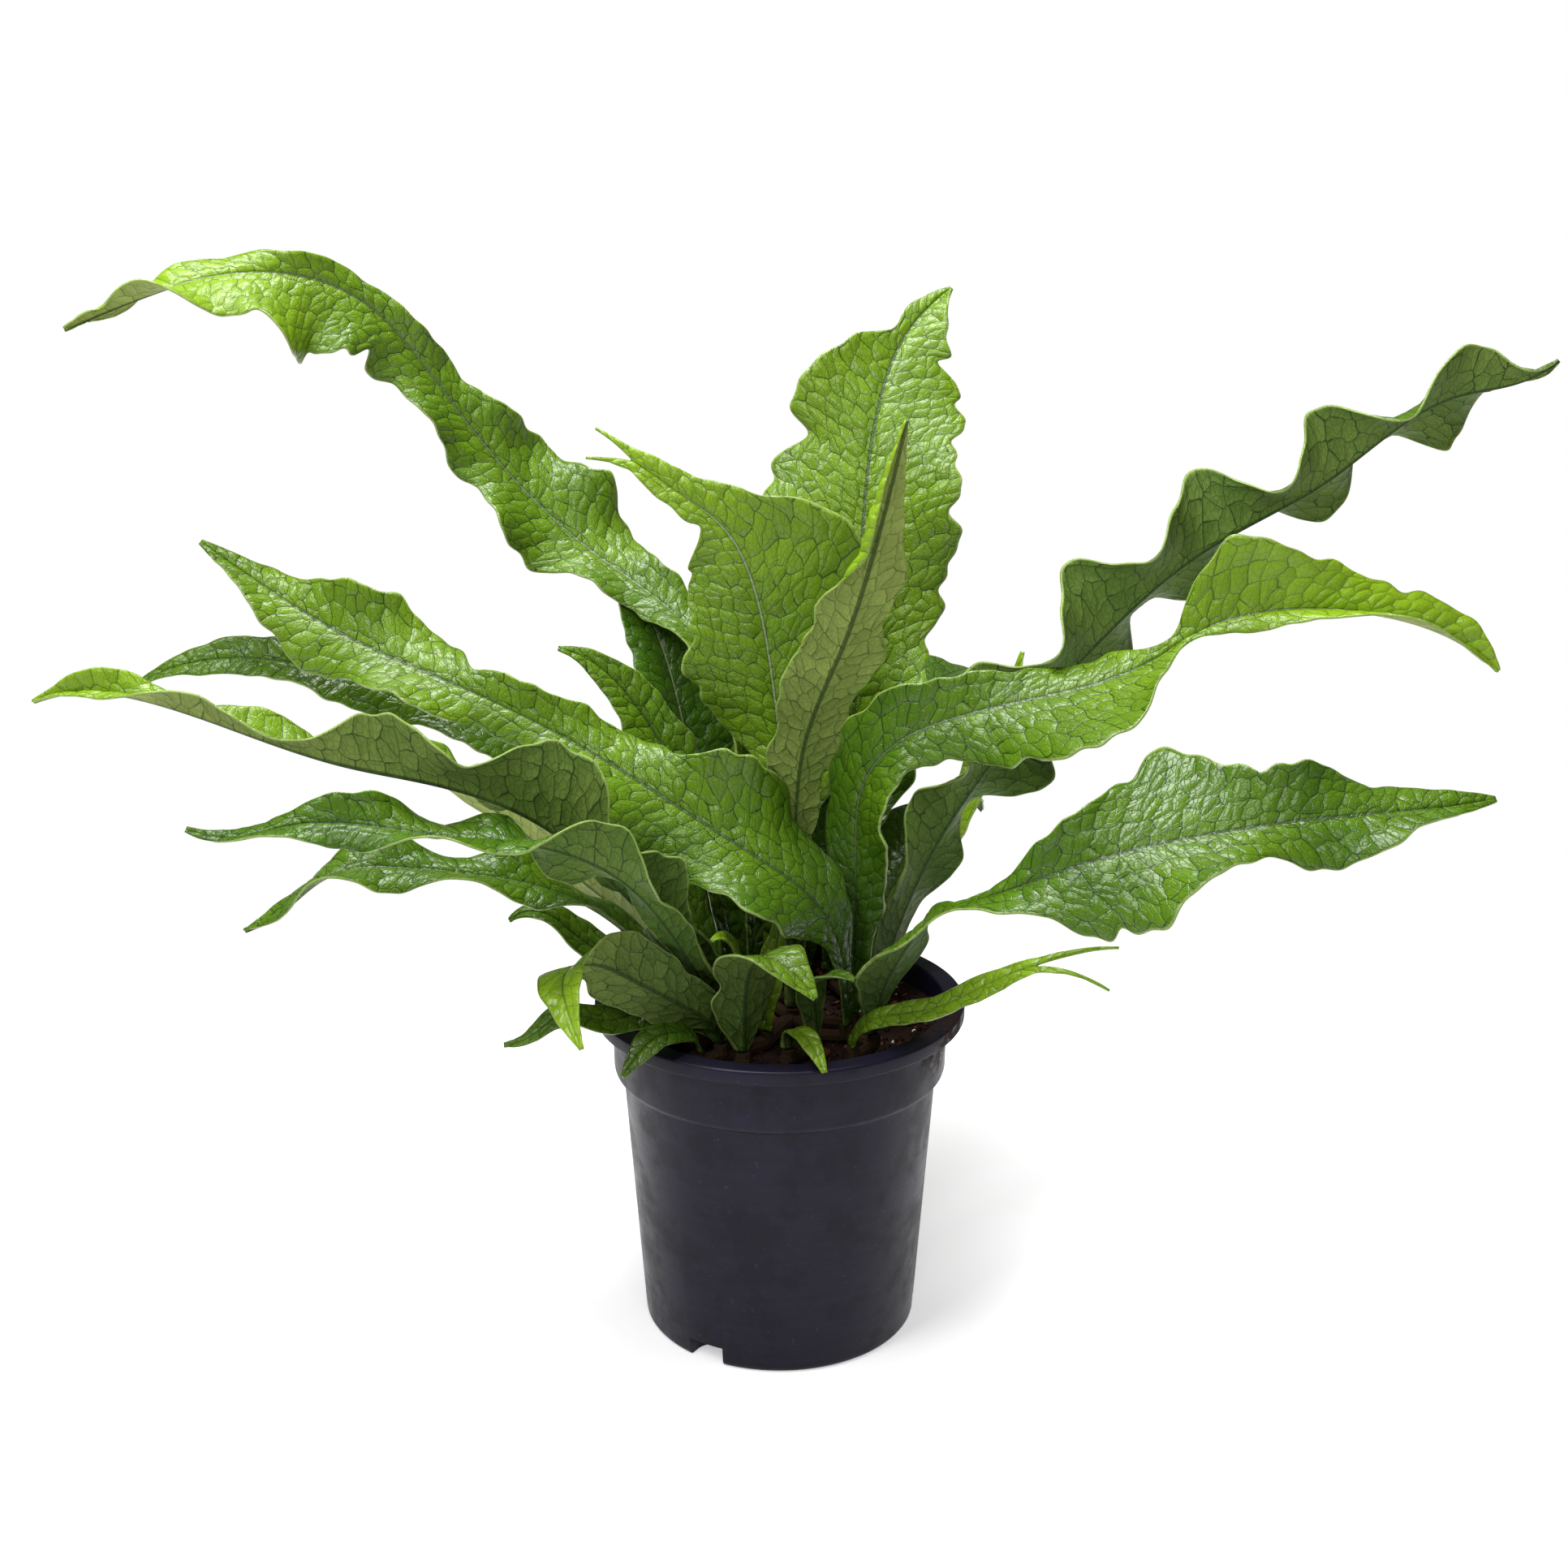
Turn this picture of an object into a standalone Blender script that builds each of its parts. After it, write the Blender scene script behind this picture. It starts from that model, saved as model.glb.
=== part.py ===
"""Potted crocodile fern: a plastic nursery pot with soil, a creeping rhizome and its fronds.

Metres, +Z up. The origin is the centre of the pot's flat base. The fronds are grown from
a few lengths in centimetres and angles in degrees each.
"""
import math

import bmesh
import bpy
import numpy as np
from mathutils import Matrix

CM = 0.01                      # the fronds' lengths are in centimetres
GAP = 0.0003                   # air left between pieces that rest on each other
FOOT_GAP = 0.0008              # air under a stalk, whose foot is cut a little askew

# Pot
POT_HEIGHT = 0.158
LIP_RADIUS = 0.085
LIP_DROP = 0.0065              # height of the lip's skirt
COLLAR_RADIUS = 0.077
COLLAR_FOOT = 0.126            # height at which the collar steps in to the body
BODY_RADIUS = 0.0725
BASE_RADIUS = 0.0638
CORNER = 0.003                 # rounding between body and base
WALL = 0.0014
FLOOR = 0.002
POT_SEGMENTS = 60

# Drain channels under the base
CHANNEL_ANGLES = (238, 358, 118)
CHANNEL_WIDTH = 0.018
CHANNEL_HEIGHT = 0.0095
CHANNEL_DEPTH = 0.016          # from the base radius inwards
DRAIN_HOLE_RADIUS = 0.0035

# Soil and rhizome
SOIL_EDGE = 0.1465             # soil height at the wall
SOIL_BED = 0.1435              # soil height where the rhizome lies
SOIL_BED_RADIUS = 0.065
RUNNER_RADIUS = 0.0035
RUNNER_SIDES = 8
BRANCH_SHARE = 0.9             # a side branch's radius against the main runner's
STUB_RADIUS = 0.0034
STUB_TOP = 0.1525

# Frond blades, in centimetres where nothing else is said
BLADE_THICKNESS = 0.0009       # metres
STALK_THICKNESS = 0.0022       # metres, thinning out to the blade's thickness
STALK_SHARE = 0.3              # share of a frond over which its stalk thins out
TIP_HALF = 0.1                 # least half width, at the tip
ROW_SPACING = 2.0              # from one cross row of a blade to the next
ROW_STEPS = (1.0, 0.55, 0.0, -0.55, -1.0)   # places across a blade, left edge to right edge
WAVE_LENGTH = 6.0              # from one edge ruffle to the next, where a frond gives no other
RUFFLE_POWER = 1.6             # how much the ruffles keep to the edges
RUFFLE_FLARE = 0.14            # how much broader an edge is in a ruffle's dip
RUFFLE_START = 6.0             # length of plain stalk before the ruffles begin
GROWTH_STEPS = 240             # short steps in which a midrib grows


def clear_scene():
    """Remove every object, so that the file starts empty."""
    for item in list(bpy.data.objects):
        bpy.data.objects.remove(item, do_unlink=True)


def plain_material(name, colour, roughness):
    """A Principled material with one colour."""
    material = bpy.data.materials.new(name)
    material.use_nodes = True
    shader = material.node_tree.nodes["Principled BSDF"]
    shader.inputs["Base Color"].default_value = (*colour, 1.0)
    shader.inputs["Roughness"].default_value = roughness
    shader.inputs["Metallic"].default_value = 0.0
    return material


def add_object(name, mesh, material):
    """Link a mesh to the scene as a named object with its material."""
    piece = bpy.data.objects.new(name, mesh)
    bpy.context.scene.collection.objects.link(piece)
    mesh.materials.clear()
    mesh.materials.append(material)
    return piece


def turned_mesh(name, profile, segments=POT_SEGMENTS):
    """Spin a closed (radius, height) profile, given from bottom axis to top axis, about Z."""
    shape = bmesh.new()
    rim = [shape.verts.new((radius, 0.0, height)) for radius, height in profile]
    edges = [shape.edges.new(pair) for pair in zip(rim[:-1], rim[1:])]
    bmesh.ops.spin(shape, geom=rim + edges, axis=(0, 0, 1), cent=(0, 0, 0),
                   angle=2 * math.pi, steps=segments, use_merge=True)
    bmesh.ops.remove_doubles(shape, verts=shape.verts, dist=1e-6)
    bmesh.ops.recalc_face_normals(shape, faces=shape.faces)
    mesh = bpy.data.meshes.new(name)
    shape.to_mesh(mesh)
    shape.free()
    return mesh


def combine(piece, tool, operation):
    """Join or cut a piece with a tool object, then drop the tool."""
    boolean = piece.modifiers.new("combine", "BOOLEAN")
    boolean.operation = operation
    boolean.solver = "EXACT"
    boolean.object = tool
    depsgraph = bpy.context.evaluated_depsgraph_get()
    result = bpy.data.meshes.new_from_object(piece.evaluated_get(depsgraph))
    piece.modifiers.clear()
    piece.data = result
    tidy = bmesh.new()
    tidy.from_mesh(result)
    bmesh.ops.remove_doubles(tidy, verts=tidy.verts, dist=5e-6)
    bmesh.ops.dissolve_degenerate(tidy, edges=tidy.edges, dist=5e-6)
    tidy.to_mesh(result)
    tidy.free()
    bpy.data.objects.remove(tool, do_unlink=True)


def smooth(piece, angle=35):
    """Shade a round piece smooth and keep its real edges sharp."""
    piece.data.shade_smooth()
    piece.data.set_sharp_from_angle(angle=math.radians(angle))


def outer_profile():
    """Outside of the pot: base, rounded corner, body, collar step, collar and lip."""
    corner = [(BASE_RADIUS - CORNER + CORNER * math.sin(turn), CORNER - CORNER * math.cos(turn))
              for turn in np.radians((0, 30, 60, 90))]
    lip_foot = POT_HEIGHT - LIP_DROP
    upper = [
        (BODY_RADIUS, COLLAR_FOOT - 0.003),
        (BODY_RADIUS + 0.0025, COLLAR_FOOT - 0.0012),
        (COLLAR_RADIUS - 0.001, COLLAR_FOOT),
        (COLLAR_RADIUS, lip_foot),
        (LIP_RADIUS - 0.0004, lip_foot),
        (LIP_RADIUS, lip_foot + 0.001),
        (LIP_RADIUS, POT_HEIGHT - 0.001),
        (LIP_RADIUS - 0.001, POT_HEIGHT),
        (0.0, POT_HEIGHT),
    ]
    return [(0.0, 0.0)] + corner + upper


def inner_profile(margin=0.0, top=POT_HEIGHT + 0.01):
    """Hollow of the pot, drawn in by a margin for what fills it, up to a height."""
    low = BASE_RADIUS - WALL - margin
    high = BODY_RADIUS - WALL - margin
    collar = COLLAR_RADIUS - WALL - margin
    floor = FLOOR + margin
    return [
        (0.0, floor),
        (low - 0.002, floor),
        (low, floor + 0.002),
        (high, COLLAR_FOOT - 0.0015),
        (collar, COLLAR_FOOT + 0.0015),
        (collar, top),
        (0.0, top),
    ]


def channel_block(angle, margin):
    """Radial block with a round inner end: a drain channel, or its hood when a margin is given."""
    half = CHANNEL_WIDTH / 2 + margin
    height = CHANNEL_HEIGHT + margin
    inner = BASE_RADIUS - CHANNEL_DEPTH + CHANNEL_WIDTH / 2
    outer = BASE_RADIUS + 0.01
    outline = [(outer, -half)]
    for turn in np.radians(range(-90, -271, -20)):
        outline.append((inner + half * math.cos(turn), half * math.sin(turn)))
    outline.append((outer, half))
    shape = bmesh.new()
    face = shape.faces.new([shape.verts.new((x, y, -0.005)) for x, y in outline])
    grown = bmesh.ops.extrude_face_region(shape, geom=[face])
    lifted = [item for item in grown["geom"] if isinstance(item, bmesh.types.BMVert)]
    bmesh.ops.translate(shape, verts=lifted, vec=(0, 0, 0.005 + height))
    bmesh.ops.recalc_face_normals(shape, faces=shape.faces)
    bmesh.ops.rotate(shape, verts=shape.verts, cent=(0, 0, 0),
                     matrix=Matrix.Rotation(math.radians(angle), 3, "Z"))
    mesh = bpy.data.meshes.new("channel")
    shape.to_mesh(mesh)
    shape.free()
    return mesh


def drain_hole(angle):
    """Upright peg that cuts a drain hole through the roof of a channel."""
    reach = BASE_RADIUS - CHANNEL_DEPTH + CHANNEL_WIDTH / 2
    turn = math.radians(angle)
    place = (reach * math.cos(turn), reach * math.sin(turn), CHANNEL_HEIGHT)
    shape = bmesh.new()
    bmesh.ops.create_cone(shape, cap_ends=True, segments=16, radius1=DRAIN_HOLE_RADIUS,
                          radius2=DRAIN_HOLE_RADIUS, depth=0.012,
                          matrix=Matrix.Translation(place))
    mesh = bpy.data.meshes.new("drain_hole")
    shape.to_mesh(mesh)
    shape.free()
    return mesh


def make_pot(material):
    """Nursery pot: a turned shell whose base has three hooded drain channels."""
    pot = add_object("nursery_pot", turned_mesh("nursery_pot", outer_profile()), material)
    hollow = add_object("hollow", turned_mesh("hollow", inner_profile()), material)
    for angle in CHANNEL_ANGLES:
        combine(pot, add_object("channel", channel_block(angle, 0.0), material), "DIFFERENCE")
        combine(hollow, add_object("hood", channel_block(angle, WALL), material), "DIFFERENCE")
    combine(pot, hollow, "DIFFERENCE")
    for angle in CHANNEL_ANGLES:
        combine(pot, add_object("hole", drain_hole(angle), material), "DIFFERENCE")
    smooth(pot)
    return pot


def make_soil(material):
    """Soil: fills the pot around the hoods, with a shallow bed for the rhizome on top."""
    profile = inner_profile(margin=GAP, top=SOIL_EDGE)[:-1]
    profile.append((SOIL_BED_RADIUS + 0.005, SOIL_EDGE))
    profile.append((SOIL_BED_RADIUS, SOIL_BED))
    profile.append((0.0, SOIL_BED))
    soil = add_object("soil", turned_mesh("soil", profile), material)
    for angle in CHANNEL_ANGLES:
        hood = channel_block(angle, WALL + GAP)
        combine(soil, add_object("hood", hood, material), "DIFFERENCE")
    smooth(soil)
    return soil


def runner_mesh(points, radius, skew):
    """Round creeping stem through flat (x, y) points, as a closed tube above the soil's bed."""
    height = SOIL_BED + GAP + RUNNER_RADIUS
    middle = [np.array((x * CM, y * CM, height)) for x, y in points]
    shape = bmesh.new()
    rings = []
    for index, centre in enumerate(middle):
        before = middle[max(index - 1, 0)]
        after = middle[min(index + 1, len(middle) - 1)]
        along = unit(after - before)
        side = np.cross((0.0, 0.0, 1.0), along)
        nudge = along * (radius if index == len(middle) - 1 else -radius if index == 0 else 0.0)
        ring = []
        for turn in skew + np.linspace(0.0, 2 * math.pi, RUNNER_SIDES, endpoint=False):
            spoke = side * math.cos(turn) + np.array((0.0, 0.0, math.sin(turn)))
            ring.append(shape.verts.new(centre + nudge + spoke * radius))
        rings.append(ring)
    for low, high in zip(rings[:-1], rings[1:]):
        for index in range(RUNNER_SIDES):
            after = (index + 1) % RUNNER_SIDES
            shape.faces.new((low[index], low[after], high[after], high[index]))
    shape.faces.new(rings[0][::-1])
    shape.faces.new(rings[-1])
    bmesh.ops.recalc_face_normals(shape, faces=shape.faces)
    mesh = bpy.data.meshes.new("runner")
    shape.to_mesh(mesh)
    shape.free()
    return mesh


def stub_mesh(x, y):
    """Short upright stub on a runner, level on top, that carries one frond."""
    low = SOIL_BED + GAP + RUNNER_RADIUS
    place = (x * CM, y * CM, (low + STUB_TOP) / 2)
    shape = bmesh.new()
    bmesh.ops.create_cone(shape, cap_ends=True, segments=8, radius1=STUB_RADIUS,
                          radius2=STUB_RADIUS * 0.9, depth=STUB_TOP - low,
                          matrix=Matrix.Translation(place) @ Matrix.Rotation(x + y, 4, "Z"))
    mesh = bpy.data.meshes.new("stub")
    shape.to_mesh(mesh)
    shape.free()
    return mesh


def make_rhizome(material, runners, feet):
    """Rhizome: creeping runners joined in one clump, with a stub under every frond."""
    rhizome = None
    for index, points in enumerate(runners):
        radius = RUNNER_RADIUS * (1.0 if index == 0 else BRANCH_SHARE - 0.011 * index)
        runner = add_object("runner", runner_mesh(points, radius, 0.23 * index), material)
        if rhizome is None:
            rhizome = runner
            rhizome.name = "rhizome"
        else:
            combine(rhizome, runner, "UNION")
    for x, y in feet:
        combine(rhizome, add_object("stub", stub_mesh(x, y), material), "UNION")
    smooth(rhizome, 50)
    return rhizome


def evenly(values, share):
    """Smooth curve through values that are set evenly from a frond's foot to its tip."""
    knots = np.array(values, dtype=float)
    slopes = np.gradient(knots)
    place = share * (len(knots) - 1)
    low = np.clip(place.astype(int), 0, len(knots) - 2)
    t = place - low
    bend = 3 * t**2 - 2 * t**3
    return ((1 - bend) * knots[low] + bend * knots[low + 1]
            + (t**3 - 2 * t**2 + t) * slopes[low] + (t**3 - t**2) * slopes[low + 1])


def grown_midrib(foot, length, heading, lean, swerve, count):
    """Midrib of a frond, grown from its foot in short steps along its lean and swerve."""
    share = np.linspace(0.0, 1.0, GROWTH_STEPS + 1)
    turn = np.radians(heading + evenly(swerve, share))
    rise = np.radians(evenly(lean, share))
    steps = np.stack((np.cos(turn) * np.cos(rise), np.sin(turn) * np.cos(rise), np.sin(rise)), axis=1)
    steps = (steps[:-1] + steps[1:]) * length / GROWTH_STEPS / 2
    points = np.vstack((np.zeros(3), np.cumsum(steps, axis=0))) + foot
    rows = np.linspace(0.0, 1.0, count)
    return rows, np.stack([np.interp(rows, share, column) for column in points.T], axis=1)


def unit(vectors):
    """Vectors of length one."""
    return vectors / np.linalg.norm(vectors, axis=-1, keepdims=True)


def blade_rows(foot, length, heading, lean, swerve, roll, breadth, fold, swing, phases, count,
               wave=WAVE_LENGTH, flare=RUFFLE_FLARE, right_breadth=None):
    """Points of a frond's sheet, row by row from foot to tip, in centimetres.

    The blade's left side points across the heading and is rolled about the midrib, and
    both sides rise by the fold. The ruffles grow towards the edges and away from the
    stalk, and an edge is a little broader where it sinks, as a real ruffled edge is.
    A frond whose right half grows unlike its left one gives right_breadth too.
    """
    share, middle = grown_midrib(foot, length, heading, lean, swerve, count)
    travel = share * length
    left_half = np.maximum(evenly(breadth, share), TIP_HALF)
    right_half = np.maximum(evenly(right_breadth or breadth, share), TIP_HALF)
    tilt = np.radians(evenly(roll, share))[:, None]
    rise_angle = np.radians(evenly(fold, share))
    along = unit(np.gradient(middle, axis=0))
    turn = math.radians(heading)
    across = np.array([-math.sin(turn), math.cos(turn), 0.0])
    side = unit(across - along * (along @ across)[:, None])
    face = np.cross(along, side)
    left = side * np.cos(tilt) + face * np.sin(tilt)
    up = face * np.cos(tilt) - side * np.sin(tilt)
    sheet = []
    for place in ROW_STEPS:
        half = left_half if place > 0 else right_half
        ease = np.clip(travel / RUFFLE_START - 0.5, 0.0, 1.0) * np.clip(half / 2, 0.0, 1.2)
        cycle = 2 * math.pi * (travel / wave + (phases[0] if place > 0 else phases[1]))
        lift = swing * abs(place)**RUFFLE_POWER * np.sin(cycle) * ease
        width = half * (1.0 + flare * place**2 * np.cos(cycle) * ease)
        reach = width * place * np.cos(rise_angle)
        rise = half * abs(place) * np.sin(rise_angle) + lift
        sheet.append(middle + left * reach[:, None] + up * rise[:, None])
    return np.stack(sheet, axis=1)


def make_frond(name, material, foot, length, **growth):
    """One frond: a sheet from its foot on the rhizome to its tip, thickened to a solid."""
    floor = (STUB_TOP + FOOT_GAP) / CM
    count = max(8, round(length / ROW_SPACING))
    sheet = blade_rows((*foot, floor), length, count=count, **growth)
    sheet[0, :, 2] = floor
    shape = bmesh.new()
    verts = [[shape.verts.new(point * CM) for point in row] for row in sheet]
    for low, high in zip(verts[:-1], verts[1:]):
        for index in range(len(ROW_STEPS) - 1):
            shape.faces.new((low[index], low[index + 1], high[index + 1], high[index]))
    mesh = bpy.data.meshes.new(name)
    shape.to_mesh(mesh)
    shape.free()
    frond = add_object(name, mesh, material)
    group = frond.vertex_groups.new(name="thickness")
    for row in range(count):
        stoutness = max(0.0, 1.0 - row / count / STALK_SHARE)
        share = (BLADE_THICKNESS + (STALK_THICKNESS - BLADE_THICKNESS) * stoutness) / STALK_THICKNESS
        members = range(row * len(ROW_STEPS), (row + 1) * len(ROW_STEPS))
        group.add(list(members), share, "REPLACE")
    solidify = frond.modifiers.new("thickness", "SOLIDIFY")
    solidify.thickness = STALK_THICKNESS
    solidify.vertex_group = "thickness"
    solidify.offset = 0.0
    smooth(frond, 60)
    return frond


# Creeping runners of the rhizome, as flat (x, y) places in centimetres.
RUNNERS = (
    ((-1.6, -5.2), (-1.6, -3.6), (-0.6, -2.8), (0.6, -0.2), (-0.4, 1.4), (1.0, 3.2), (0.4, 4.8)),
    ((0.6, -0.2), (-0.6, -1.4), (-2.6, -1.2), (-4.0, -1.2), (-4.8, -0.2)),
    ((-3.6, -5.1), (-2.6, -4.2), (-2.8, -2.6), (-2.6, -1.2)),
    ((-4.6, -3.0), (-2.8, -2.6)),
    ((-0.4, 1.4), (-2.6, 1.2), (-3.8, 0.6)),
    ((-2.6, 1.2), (-1.4, 2.6), (-2.6, 3.4), (-2.6, 4.8)),
    ((-2.6, 1.2), (-3.8, 2.4)),
    ((-1.4, 2.6), (-1.2, 4.6)),
    ((0.6, -0.2), (1.6, -2.0), (1.6, -3.6), (0.4, -4.8)),
    ((1.6, -2.0), (3.0, -2.2), (4.2, -3.2), (3.2, -4.6)),
    ((0.6, -0.2), (3.4, -0.8), (4.4, 0.6), (4.4, 2.6)),
    ((1.0, 3.2), (2.4, 4.2), (3.4, 2.0)),
)

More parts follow.
